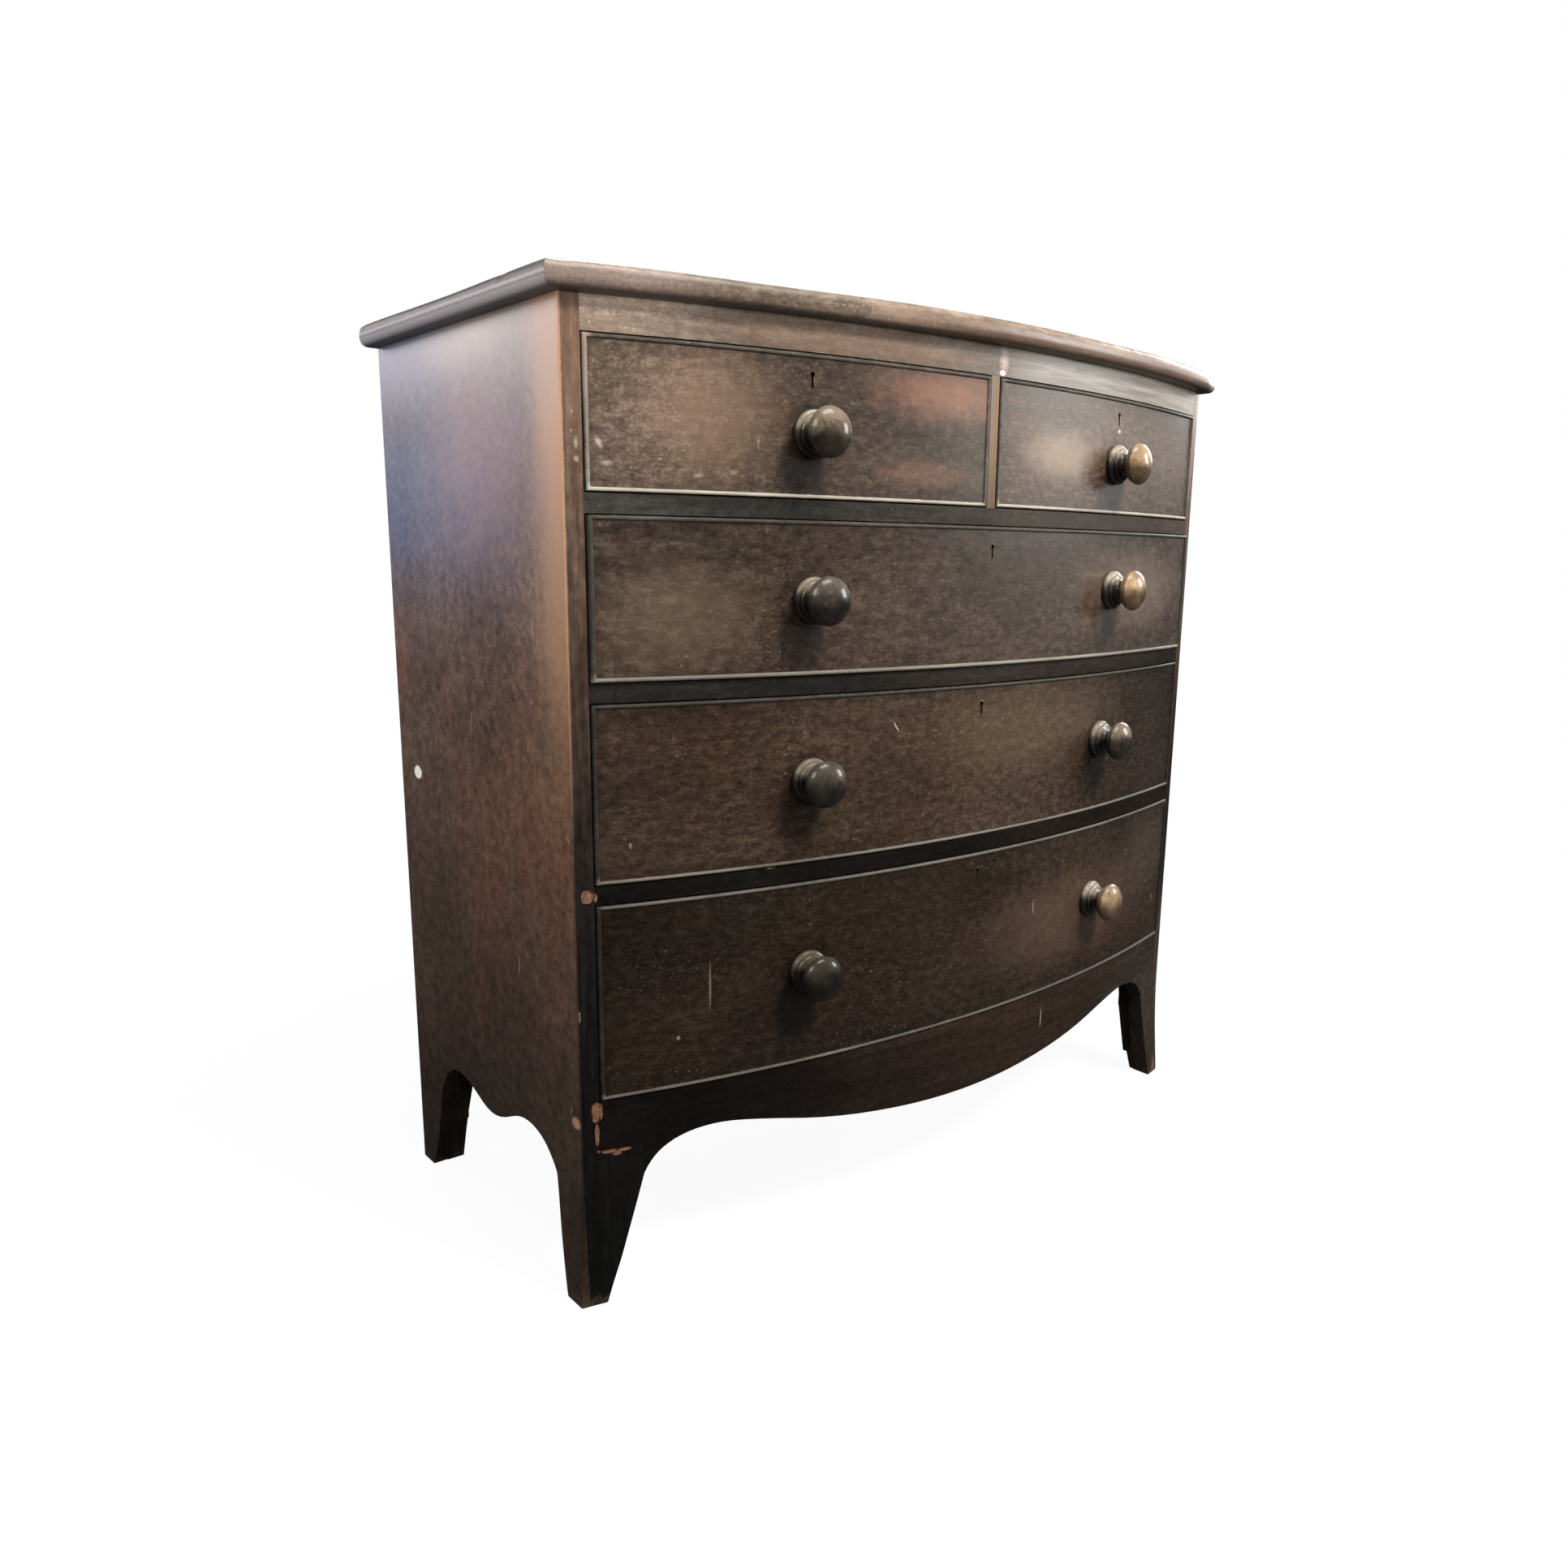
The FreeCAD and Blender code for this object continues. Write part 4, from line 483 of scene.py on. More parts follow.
def case_cross(name, kind, seed):
    """Frieze, rails and apron: grain runs along the bow."""
    s = Shade(name)
    a, d, z = bow_coords(s)
    dark, mid, light = {"frieze": (FZ_DARK, FZ_MID, FZ_LIGHT)}.get(kind, (RL_DARK, RL_MID, RL_LIGHT))
    col, n = timber(s, a, z, d, dark, mid, light, seed=seed, contrast=1.0, mottle=0.9, specks=0.30,
                    stain=1.0, rough=0.44, rough_var=0.2, bump=0.3)
    if kind == "frieze":
        # painted light: brighter at the left end; painted sheen: greyer and paler over the right part
        f = s.step(s.x, -0.46, -0.34, 1.48, 0.49)
        col = s.mix(1.0, col, s.vec(f, s.mul(f, 1.03), s.mul(f, 1.04)), "MULTIPLY")
        right = s.step(s.x, -0.02, 0.10)
        col = s.mix(s.mul(right, 0.50), col, s.mix(s.step(n["streak"], 0.35, 0.65), (0.110, 0.098, 0.086), (0.195, 0.180, 0.160)))
        warm = s.spot(s.x, s.z, -0.20, 1.010, 0.16, 0.012, wob=0.5, freq=40.0, edge=0.6)
        col = s.mix(s.mul(warm, 0.22), col, (0.16, 0.100, 0.066))
        # painted light: paler near the top, lifting it out of the moulding's shadow
        high = s.step(s.z, 1.006, 1.026)
        col = s.mix(s.mul(high, 0.75), col, s.mix(1.0, col, (1.75, 1.72, 1.70), "MULTIPLY"))
        chip = s.spot(s.x, s.z, 0.0110, 1.0010, 0.0045, 0.0030, wob=0.4)
        smear = s.spot(s.x, s.z, 0.0130, 1.0150, 0.0060, 0.0120, wob=0.5, edge=0.7)
        col = s.mix(s.mul(s.m("MAXIMUM", chip, s.mul(smear, 0.45)), 0.7), col, (0.46, 0.34, 0.32))
    if kind == "rail":
        # painted shade: rails darker and cooler to the left, and much darker lower down the front
        right = s.step(s.x, -0.35, 0.25)
        col = s.mix(right, s.mix(1.0, col, (0.34, 0.42, 0.46), "MULTIPLY"), s.mix(1.0, col, (0.49, 0.455, 0.40), "MULTIPLY"))
        deepen = s.step(s.z, 0.75, 0.60)
        col = s.mix(s.mul(deepen, 0.90), col, (0.12, 0.105, 0.095), "MULTIPLY")
    if kind == "apron":
        # painted light: the apron darker to the left, paler and cooler at the right end
        right = s.step(s.x, -0.40, 0.20)
        col = s.mix(right, s.mix(1.0, col, (0.08, 0.085, 0.09), "MULTIPLY"), s.mix(1.0, col, (0.42, 0.33, 0.28), "MULTIPLY"))
        col = s.mix(s.step(s.x, 0.25, 0.44), col, (1.08, 1.38, 1.48), "MULTIPLY")
        sc = s.spot(s.x, s.z, 0.1452, 0.1960, 0.0009, 0.0130, wob=0.3)
        col = s.mix(s.mul(sc, 0.4), col, PALE)
    s.put(col, s.bsdf.inputs["Base Color"])
    s.surface(spec={"frieze": 0.36, "rail": 0.17, "apron": 0.20}[kind], coat=0.08 if kind == "frieze" else 0.0, coat_rough=0.26)
    return s.mat


def moulding_material(name, front=True):
    s = Shade(name)
    if front:
        a, d, z = bow_coords(s)
    else:
        a, d, z = s.y, s.x, s.z
    col, n = timber(s, a, z, d, (0.020, 0.014, 0.010), (0.050, 0.036, 0.026), (0.110, 0.082, 0.062), seed=4.0,
                    contrast=0.9, mottle=0.9, specks=0.35, stain=1.2, rough=0.42, rough_var=0.2, bump=0.22,
                    speck_col=(0.34, 0.29, 0.23))
    wob = s.mul(s.sub(n["mott"], 0.5), 0.0024)
    if front:
        # two lengths of slightly different wood meet at the joint
        right = s.step(s.x, -0.1994, -0.1986)
        col = s.mix(s.mul(right, 0.30), col, (0.130, 0.078, 0.056))
        line = s.step(s.m("ABSOLUTE", s.add(s.x, 0.1990)), 0.0011, 0.0004)
        col = s.mix(s.mul(line, 0.35), col, (0.22, 0.165, 0.120))
        # painted light from above with wear: the top of the nose paler, broken up by worn patches
        wear_and_light = s.step(s.noise(s.vec(s.mul(s.x, 16.0), 3.0, s.mul(s.z, 40.0)), 1.0, 4.0, 0.6), 0.36, 0.68)
        top = s.step(s.add(s.z, wob), 1.0420, 1.0515)
        near = s.step(s.x, -0.33, -0.46)
        col = s.mix(s.mul(near, 0.60), col, s.mix(s.step(n["small"], 0.25, 0.75), (0.100, 0.070, 0.060), (0.160, 0.122, 0.108)))
        zone = s.step(s.x, -0.16, -0.05)
        col = s.mix(s.mul(s.mul(wear_and_light, top), s.add(0.34, s.mul(zone, 0.26))), col, (0.285, 0.230, 0.185))
    else:
        # painted light on the side run: a cool cast, a paler lower half for light from the floor, a dark band along the
        # top edge and a painted highlight line along the nose, stronger toward the front
        col = s.mix(0.85, col, s.mix(1.0, col, (1.05, 1.20, 1.45), "MULTIPLY"))
        col = s.mix(s.mul(s.step(s.z, 1.0405, 1.0370), 0.75), col, (0.31, 0.295, 0.305))
        col = s.mix(s.mul(s.step(s.add(s.z, wob), 1.0450, 1.0478), 0.50), col, (0.082, 0.068, 0.062))
        painted_highlight = s.step(s.m("ABSOLUTE", s.sub(s.add(s.z, wob), 1.0422)), 0.0026, 0.0006)
        near = s.step(s.y, 0.10, -0.14)
        col = s.mix(s.mul(painted_highlight, s.add(0.38, s.mul(near, 0.12))), col, (0.40, 0.35, 0.34))
    # the flat upper face is the colour of the top board beside it
    col = s.mix(s.mul(s.step(s.z, 1.05335, 1.05385), 0.8), col, (0.080, 0.044, 0.029))
    # painted shade: bluish dark under the nose
    und = s.step(s.z, 1.0325, 1.0300)
    col = s.mix(s.mul(und, 0.85), col, (0.30, 0.42, 0.56) if front else (0.24, 0.32, 0.40), "MULTIPLY")
    s.put(col, s.bsdf.inputs["Base Color"])
    s.surface(spec=0.5 if front else 0.20, coat=0.12 if front else 0.0, coat_rough=0.26)
    return s.mat


def top_material(name):
    s = Shade(name)
    col, n = timber(s, s.x, s.y, s.z, (0.040, 0.020, 0.012), (0.095, 0.048, 0.029), (0.18, 0.10, 0.062), seed=2.0,
                    contrast=1.15, mottle=0.7, specks=0.25, stain=1.2, rough=0.54, rough_var=0.20, bump=0.22)
    ring = []
    for cx, cy, r in ((0.21, 0.06, 0.042), (-0.31, -0.02, 0.036)):
        dx, dy = s.sub(s.x, cx), s.sub(s.y, cy)
        dist = s.m("SQRT", s.add(s.mul(dx, dx), s.mul(dy, dy)))
        dist = s.add(dist, s.mul(s.sub(n["mott"], 0.5), 0.004))
        ring.append(s.step(s.m("ABSOLUTE", s.sub(dist, r)), 0.0022, 0.0006))
    col = s.mix(s.mul(s.most(ring), 0.28), col, (0.30, 0.22, 0.16))
    s.put(col, s.bsdf.inputs["Base Color"])
    s.surface(spec=0.16, coat=0.0, coat_rough=0.3)
    return s.mat


def bead_material(name, tone=1.0):
    """The lower bead of a drawer gets the palest painted highlight, where light from above catches its upper rounding;
    the per-vertex level runs from 0 at the top bead to 1 there.
    """
    s = Shade(name)
    a, d, z = bow_coords(s)
    t = lambda c: scaled(c, tone)
    at = s.nodes.new("ShaderNodeAttribute")
    at.attribute_name = "painted_highlight"
    sp = s.nodes.new("ShaderNodeSeparateXYZ")
    s.put(at.outputs["Vector"], sp.inputs[0])
    painted_highlight = sp.outputs[0]
    col, n = timber(s, a, z, d, t((0.020, 0.016, 0.013)), t((0.046, 0.038, 0.031)), t((0.100, 0.083, 0.068)), seed=6.0,
                    contrast=0.8, mottle=1.2, specks=0.25, rough=0.55, rough_var=0.2, bump=0.22)
    # painted highlight: the nose is lighter than the sides of the bead
    nose = s.step(s.add(d, s.mul(s.sub(n["mott"], 0.5), 0.0012)), 0.0007, 0.0017)
    fresh = s.step(s.noise(s.vec(s.mul(a, 7.0), s.mul(z, 7.0), 2.0), 1.0, 3.0, 0.6), 0.35, 0.65, 0.55, 1.0)
    col = s.mix(s.mul(s.mul(nose, fresh), s.add(0.04, s.mul(painted_highlight, 0.66))), col, t((0.39, 0.355, 0.300)))
    # the upright bead by the left corner is still covered in old polish near the top
    kept = s.mul(s.mul(s.step(s.x, -0.480, -0.486), s.step(z, 0.915, 0.955)), s.step(painted_highlight, 0.60, 0.50))
    col = s.mix(s.mul(kept, 0.8), col, t((0.190, 0.140, 0.118)))
    # painted light and shade: the top and side beads are darker than the lower one, and their flanks darker still where
    # the gap shades them
    g = s.step(painted_highlight, 0.02, 0.30, 0.50, 1.0)
    col = s.mix(1.0, col, s.vec(g, g, g), "MULTIPLY")
    deep = s.step(d, 0.0002, -0.0008)
    col = s.mix(s.mul(deep, s.step(painted_highlight, 0.02, 0.30, 0.50, 0.85)), col, (0.18, 0.19, 0.20), "MULTIPLY")
    s.put(col, s.bsdf.inputs["Base Color"])
    s.surface(spec=0.25, coat=0.03, coat_rough=0.4)
    return s.mat


def knob_material(name, tan=0.0):
    """Turned wood: rings follow the turning, dirt sits in the hollows."""
    s = Shade(name)
    at = s.nodes.new("ShaderNodeAttribute")
    at.attribute_name = "turn"
    sp = s.nodes.new("ShaderNodeSeparateXYZ")
    s.put(at.outputs["Vector"], sp.inputs[0])
    u, r, k = sp.outputs[0], sp.outputs[1], sp.outputs[2]      # millimetres, and tone of the head
    at2 = s.nodes.new("ShaderNodeAttribute")
    at2.attribute_name = "rise"
    sp2 = s.nodes.new("ShaderNodeSeparateXYZ")
    s.put(at2.outputs["Vector"], sp2.inputs[0])
    rise = sp2.outputs[0]                                      # height from the axis, in radii
    g = s.noise(s.vec(s.mul(s.x, 60.0), s.mul(s.y, 20.0), s.mul(s.z, 60.0)), 1.0, 4.0, 0.6, 0.6)
    fine = s.noise(s.vec(s.mul(s.x, 900.0), s.mul(s.y, 160.0), s.mul(s.z, 900.0)), 1.0, 3.0, 0.6)
    ring = s.noise(s.vec(s.mul(u, 1.6), s.mul(r, 0.35), k), 1.0, 4.0, 0.65)
    val = s.add(0.5, s.add(s.mul(s.sub(g, 0.5), 1.3), s.mul(s.sub(ring, 0.5), 0.7)))
    val = s.add(val, s.mul(s.sub(fine, 0.5), 0.5))
    col = s.ramp(val, [(0.15, (0.006, 0.006, 0.006)), (0.5, (0.019, 0.016, 0.013)), (0.88, (0.050, 0.040, 0.030))])
    head = s.step(u, 18.0, 24.0)
    light = s.ramp(val, [(0.15, (0.10, 0.060, 0.032)), (0.5, (0.225, 0.140, 0.078)), (0.88, (0.37, 0.255, 0.155))])
    col = s.mix(s.mul(head, k), col, light)
    for c, w in ((8.6, 0.9), (12.9, 1.3), (16.5, 2.6)):
        q = s.step(s.m("ABSOLUTE", s.sub(u, c)), w, w * 0.3)
        col = s.mix(s.mul(q, 0.40), col, (0.22, 0.21, 0.21), "MULTIPLY")
    # painted shade where the foot meets the drawer front
    base = s.step(u, 1.6, 0.2)
    col = s.mix(s.mul(base, 0.7), col, (0.3, 0.3, 0.3), "MULTIPLY")
    # painted light: the upper half of each head and the top of the foot are lighter, lit from above
    crown = s.step(s.add(rise, s.mul(s.sub(g, 0.5), 0.5)), 0.10, 0.70)
    col = s.mix(s.mul(crown, s.mul(s.step(k, 0.0, 0.05, 0.14, 0.46), s.step(k, 0.3, 0.6, 1.0, 0.45))), col, (0.125, 0.100, 0.070))
    col = s.mix(s.mul(s.mul(crown, s.step(u, 18.0, 12.0)), s.step(k, 0.15, 0.5, 0.34, 0.70)), col, (0.190, 0.160, 0.125))
    # the knobs given a negative head tone are darker
    col = s.mix(s.step(k, 0.0, -0.05), col, (0.45, 0.42, 0.38), "MULTIPLY")
    # painted shade: the underside of each knob is darker
    under = s.step(s.add(rise, s.mul(s.sub(g, 0.5), 0.5)), 0.45, -0.35)
    col = s.mix(s.mul(under, s.step(k, 0.3, 0.6, 0.92, 0.88)), col, (0.20, 0.22, 0.25), "MULTIPLY")
    s.put(col, s.bsdf.inputs["Base Color"])
    rr = s.add(0.34, s.mul(s.sub(g, 0.5), 0.22))
    s.put(s.add(rr, s.mul(s.step(fine, 0.60, 0.72), 0.10)), s.bsdf.inputs["Roughness"])
    s.bump(s.add(s.mul(ring, 0.5), s.mul(fine, 0.25)), 0.10, 0.0004)
    s.surface(spec=0.20, coat=0.48, coat_rough=0.11)
    return s.mat


def plain_wood(name, axis, dark, mid, light, seed=0.0, rough=0.62, specks=0.1, dirt=None, boards=None):
    """Unpolished softwood and drawer linings."""
    s = Shade(name)
    c = {"x": (s.x, s.z, s.y), "z": (s.z, s.x, s.y), "y": (s.y, s.x, s.z)}[axis]
    col, n = timber(s, *c, dark, mid, light, seed=seed, contrast=1.25, mottle=0.45, pores=0.35, specks=specks,
                    stain=1.0, rough=rough, rough_var=0.15, bump=0.45, speck_col=(0.09, 0.06, 0.04))
    # growth rings of flat sawn softwood
    wave = s.noise(s.vec(s.mul(c[0], 1.3), s.mul(c[1], 9.0), s.mul(c[2], 9.0)), 1.0, 2.0, 0.5)
    rings = s.m("SINE", s.mul(s.add(s.mul(c[1], 26.0), s.mul(wave, 7.0)), 9.0))
    col = s.mix(s.mul(s.step(rings, 0.2, 1.0), 0.30), col, scaled(dark, 1.15))
    if dirt:
        col = s.mix(s.step(n["blot"], 0.42, 0.62, 0.0, dirt), col, (0.45, 0.42, 0.40), "MULTIPLY")
    s.put(col, s.bsdf.inputs["Base Color"])
    s.surface(spec=0.3)
    return s.mat


def metal(name, colour, tarnish, rough, seed=0.0, metallic=1.0):
    s = Shade(name)
    g = s.noise(s.obj, 180.0, 4.0, 0.6)
    f = s.noise(s.vec(s.mul(s.x, 1200.0), s.mul(s.y, 300.0), s.mul(s.z, 1200.0)), 1.0, 3.0, 0.6)
    col = s.mix(s.step(g, 0.38, 0.66), colour, tarnish)
    col = s.mix(s.step(f, 0.60, 0.74, 0.0, 0.6), col, scaled(tarnish, 0.5))
    s.put(col, s.bsdf.inputs["Base Color"])
    s.bsdf.inputs["Metallic"].default_value = metallic
    s.put(s.add(rough, s.mul(s.sub(g, 0.5), 0.35)), s.bsdf.inputs["Roughness"])
    s.bump(s.add(s.mul(g, 0.5), s.mul(f, 0.3)), 0.25, 0.0003)
    return s.mat


def bare_material(name):
    """Wood laid bare where veneer or an edge has broken away."""
    s = Shade(name)
    g = s.noise(s.vec(s.mul(s.x, 700.0), s.mul(s.y, 700.0), s.mul(s.z, 160.0)), 1.0, 4.0, 0.65)
    b = s.noise(s.obj, 260.0, 3.0, 0.6)
    col = s.ramp(s.add(0.5, s.add(s.mul(s.sub(g, 0.5), 1.4), s.mul(s.sub(b, 0.5), 1.2))),
                 [(0.15, (0.035, 0.018, 0.011)), (0.5, (0.086, 0.043, 0.024)), (0.88, (0.160, 0.088, 0.052))])
    s.put(col, s.bsdf.inputs["Base Color"])
    s.put(s.add(0.62, s.mul(s.sub(b, 0.5), 0.3)), s.bsdf.inputs["Roughness"])
    s.bump(g, 0.5, 0.0006)
    s.surface(spec=0.3)
    return s.mat


M_UP = case_upright("mahogany_upright")
M_FRONT = case_upright("mahogany_front_upright", 0.0, True, 0.26, 0.06)
M_FRIEZE = case_cross("mahogany_frieze", "frieze", 1.0)
M_RAIL = case_cross("mahogany_rail", "rail", 11.0)
M_APRON = case_cross("mahogany_apron", "apron", 21.0)
M_MOULD_F = moulding_material("mahogany_moulding_front", True)
M_MOULD_S = moulding_material("mahogany_moulding_side", False)
M_TOP = top_material("mahogany_top")
M_KNOB = knob_material("turned_mahogany_polished")
M_BARE = bare_material("bare_wood")
M_LINING_Y = plain_wood("lining_sides", "y", (0.12, 0.070, 0.036), (0.27, 0.175, 0.098), (0.42, 0.30, 0.18), 3.0, dirt=0.5)
M_LINING_X = plain_wood("lining_backs", "x", (0.12, 0.070, 0.036), (0.25, 0.16, 0.09), (0.40, 0.28, 0.17), 5.0, dirt=0.5)
M_BOTTOM = plain_wood("drawer_bottoms", "x", (0.14, 0.085, 0.045), (0.32, 0.22, 0.13), (0.47, 0.35, 0.22), 7.0, dirt=0.4)
M_PINE_X = plain_wood("pine_across", "x", (0.090, 0.052, 0.028), (0.20, 0.125, 0.07), (0.31, 0.21, 0.125), 13.0, rough=0.68, dirt=0.7)
M_PINE_Z = plain_wood("pine_upright", "z", (0.085, 0.050, 0.028), (0.19, 0.120, 0.068), (0.30, 0.20, 0.12), 17.0, rough=0.7, dirt=0.8)
M_PINE_Y = plain_wood("pine_inward", "y", (0.090, 0.052, 0.028), (0.20, 0.125, 0.07), (0.31, 0.21, 0.125), 19.0, rough=0.68, dirt=0.7)
# near black: painted shade of the hollows inside the feet and behind the case front
M_BLOCK = plain_wood("foot_blocks", "z", (0.006, 0.005, 0.004), (0.014, 0.011, 0.009), (0.034, 0.028, 0.022), 23.0, rough=0.75, dirt=0.5)
M_BRASS = metal("aged_brass", (0.22, 0.19, 0.12), (0.085, 0.082, 0.062), 0.50)
M_IRON = metal("rusted_iron", (0.11, 0.095, 0.085), (0.10, 0.045, 0.022), 0.62, metallic=0.75)


# ------------------------------------------------------------------ meshes
def make(name, bm, nodes, body, mats, angle=35.0, weighted=False, recalc=True):
    if recalc:
        bmesh.ops.recalc_face_normals(bm, faces=bm.faces)
    me = bpy.data.meshes.new(name)
    bm.to_mesh(me)
    bm.free()
    for m in mats:
        me.materials.append(m)
    for p in me.polygons:
        p.use_smooth = True
    me.set_sharp_from_angle(angle=math.radians(angle))
    o = bpy.data.objects.new(name, me)
    scene.collection.objects.link(o)
    if weighted:
        mod = o.modifiers.new("normals", "WEIGHTED_NORMAL")
        mod.keep_sharp = True
        mod.weight = 80
    if nodes:
        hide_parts(*nodes)
    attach(o, body)
    return o


def splinter(x, z, outline, depth, tilt=None):
    """A cutter for a shallow loss in the bowed face at (x, z); outline in millimetres across and up."""
    a = math.asin(x / R)
    p = Vector((x, bow(x), z))
    n, t = Vector((math.sin(a), -math.cos(a), 0.0)), Vector((math.cos(a), math.sin(a), 0.0))
    bm = bmesh.new()
    inner, outer = [], []
    for i, (u, v) in enumerate(outline):
        q = p + t * (u * 0.001) + Vector((0, 0, v * 0.001))
        d = depth * (0.75 + 0.5 * noise.noise(Vector((u * 0.7, v * 0.7, i * 1.3))))
        inner.append(bm.verts.new(q - n * d))
        outer.append(bm.verts.new(q + n * 0.004))
    k = len(outline)
    c = bm.verts.new(sum((v.co for v in inner), Vector()) / k - n * depth * 0.15)
    bm.faces.new(outer)
    for i in range(k):
        j = (i + 1) % k
        bm.faces.new((inner[i], inner[j], outer[j], outer[i]))
        bm.faces.new((inner[j], inner[i], c))
    bmesh.ops.recalc_face_normals(bm, faces=bm.faces)
    for f in bm.faces:
        f.material_index = 1
    me = bpy.data.meshes.new("cutter")
    bm.to_mesh(me)
    bm.free()
    me.materials.append(M_BARE)
    me.materials.append(M_BARE)
    o = bpy.data.objects.new("cutter", me)
    scene.collection.objects.link(o)
    return o


def ragged(cx, cz, hw, hh, n, seed, jag=0.28):
    """A ragged outline round (cx, cz), half sizes hw and hh, in millimetres."""
    out = []
    for i in range(n):
        a = 2 * math.pi * i / n
        k = 1.0 + jag * noise.noise(Vector((math.cos(a) * 2.1, math.sin(a) * 2.1, seed))) * 2.0
        out.append((cx + hw * k * math.cos(a), cz + hh * k * math.sin(a)))
    return out


def soft_copy(node, mats, bevels=((0.0005, None),), cutters=(), segs=2, weighted=True, pick=None):
    """The CAD piece with its sharp edges eased and, where named, shallow losses cut in it."""
    me = NODE[node].data.copy()
    for a in ("custom_normal", "sharp_edge", "sharp_face"):
        if me.attributes.get(a):
            me.attributes.remove(me.attributes[a])
    bm = bmesh.new()
    bm.from_mesh(me)
    bpy.data.meshes.remove(me)
    for f in bm.faces:
        f.material_index = 0
        f.smooth = True
    bmesh.ops.remove_doubles(bm, verts=bm.verts, dist=2e-5)
    bmesh.ops.dissolve_limit(bm, angle_limit=math.radians(0.3), verts=bm.verts, edges=bm.edges)
    for width, where in bevels:
        edges = [e for e in bm.edges if len(e.link_faces) == 2 and e.calc_face_angle(0.0) > math.radians(28)
                 and (where is None or where((e.verts[0].co + e.verts[1].co) / 2, e))]
        if edges:
            bmesh.ops.bevel(bm, geom=edges, offset=width, offset_type="OFFSET", segments=segs, profile=0.5,
                            affect="EDGES", clamp_overlap=False)
    bmesh.ops.recalc_face_normals(bm, faces=bm.faces)
    if pick:
        for f in bm.faces:
            f.material_index = pick(f)
    if cutters:
        tmp = bpy.data.meshes.new("tmp")
        bm.to_mesh(tmp)
        bm.free()
        for m in mats:
            tmp.materials.append(m)
        o = bpy.data.objects.new("tmp", tmp)
        scene.collection.objects.link(o)
        for c in cutters:
            mod = o.modifiers.new("loss", "BOOLEAN")
            mod.operation = "DIFFERENCE"
            mod.solver = "EXACT"
            mod.object = c
            mod.material_mode = "INDEX"
        dg = bpy.context.evaluated_depsgraph_get()
        done = bpy.data.meshes.new_from_object(o.evaluated_get(dg))
        bm = bmesh.new()
        bm.from_mesh(done)
        bpy.data.objects.remove(o)
        bpy.data.meshes.remove(tmp)
        bpy.data.meshes.remove(done)
        bmesh.ops.remove_doubles(bm, verts=bm.verts, dist=1e-6)
    return make(node + "_finish", bm, [node], body_of(node), mats, weighted=weighted, recalc=False)


def curve(points, steps):
    """Catmull-Rom through the points."""
    out = []
    n = len(points)
    for i in range(n - 1):
        p0, p1, p2, p3 = points[max(i - 1, 0)], points[i], points[i + 1], points[min(i + 2, n - 1)]
        for k in range(steps):
            t = k / steps
            out.append(tuple(0.5 * ((2 * b) + (c - a) * t + (2 * a - 5 * b + 4 * c - d) * t * t
                                    + (3 * b - a - 3 * c + d) * t ** 3) for a, b, c, d in zip(p0, p1, p2, p3)))
    out.append(tuple(points[-1]))
    return out


def skin(bm, rings, closed=False):
    """Skins a row of closed sections."""
    vs = [[bm.verts.new(p) for p in r] for r in rings]
    n = len(rings[0])
    last = len(rings) if closed else len(rings) - 1
    for a in range(last):
        b = (a + 1) % len(rings)
        for i in range(n):
            j = (i + 1) % n
            bm.faces.new((vs[a][i], vs[a][j], vs[b][j], vs[b][i]))
    if not closed:
        bm.faces.new(vs[0][::-1])
        bm.faces.new(vs[-1])


# ---- top moulding: section as outward and upward millimetres
MOULD = [(0.0, 0.0), (5.0, 0.0)] + curve([(11.0, 0.0), (15.6, 0.9), (19.2, 3.6), (21.1, 8.0), (21.5, 12.4), (21.0, 17.0),
                                          (19.2, 21.0), (15.9, 23.6), (12.0, 24.5)], 4) + [(6.0, 24.5), (0.0, 24.5)]
LOW = 1.0295


def bell(v, centre, half):
    k = max(0.0, 1.0 - abs(v - centre) / half)
    return k * k * (3 - 2 * k)


def worn(u, w, s, seed, sag=0.0, corner=0.0):
    """Knocks and rubbed places along the nose, only ever inward: sag lowers the top of the nose,
    corner draws the whole section back towards the case."""
    if u > 14.0 and w > 3.0:
        c = noise.noise(Vector((s * 26.0, seed, w * 0.02))) + 0.5 * noise.noise(Vector((s * 90.0, seed, 4.0 + w * 0.05)))
        k = max(0.0, c - 0.25) * (0.25 + 0.75 * min(1.0, max(0.0, (w - 11.0) / 8.0)))
        u, w = u - min(1.1, 1.8 * k), w - (min(0.4, 0.7 * k) if w > 20 else 0.0)
    if w > 12.0:
        w -= sag * min(1.0, u / 12.0) * min(1.0, (w - 12.0) / 9.0)
    return u * (1.0 - corner), w


def front_run(bm, xa, xb, steps, seed):
    rings = []
    for i in range(steps + 1):
        f = i / steps
        ring = []
        for u, w in MOULD:
            mid = (xa(u) * (1 - f) + xb(u) * f) * 0.001
            sag = 1.9 * bell(mid, -0.30, 0.20) + 1.0 * bell(mid, 0.19, 0.12)
            uu, ww = worn(u, w, mid, seed, sag, 0.17 * bell(mid, 0.5315, 0.045))
            x = (xa(uu) * (1 - f) + xb(uu) * f) * 0.001
            ring.append((x, bow(x, uu * 0.001), LOW + ww * 0.001))
        rings.append(ring)
    skin(bm, rings)


bm = bmesh.new()
front_run(bm, lambda u: -(510.0 + u) + 0.03, lambda u: -199.0 - 0.12, 90, 1.0)
front_run(bm, lambda u: -199.0 + 0.12, lambda u: 510.0 + u - 0.03, 200, 1.0)
make("top_moulding_front_finish", bm, ["top_moulding_front"], "carcass", [M_MOULD_F], angle=32.0)

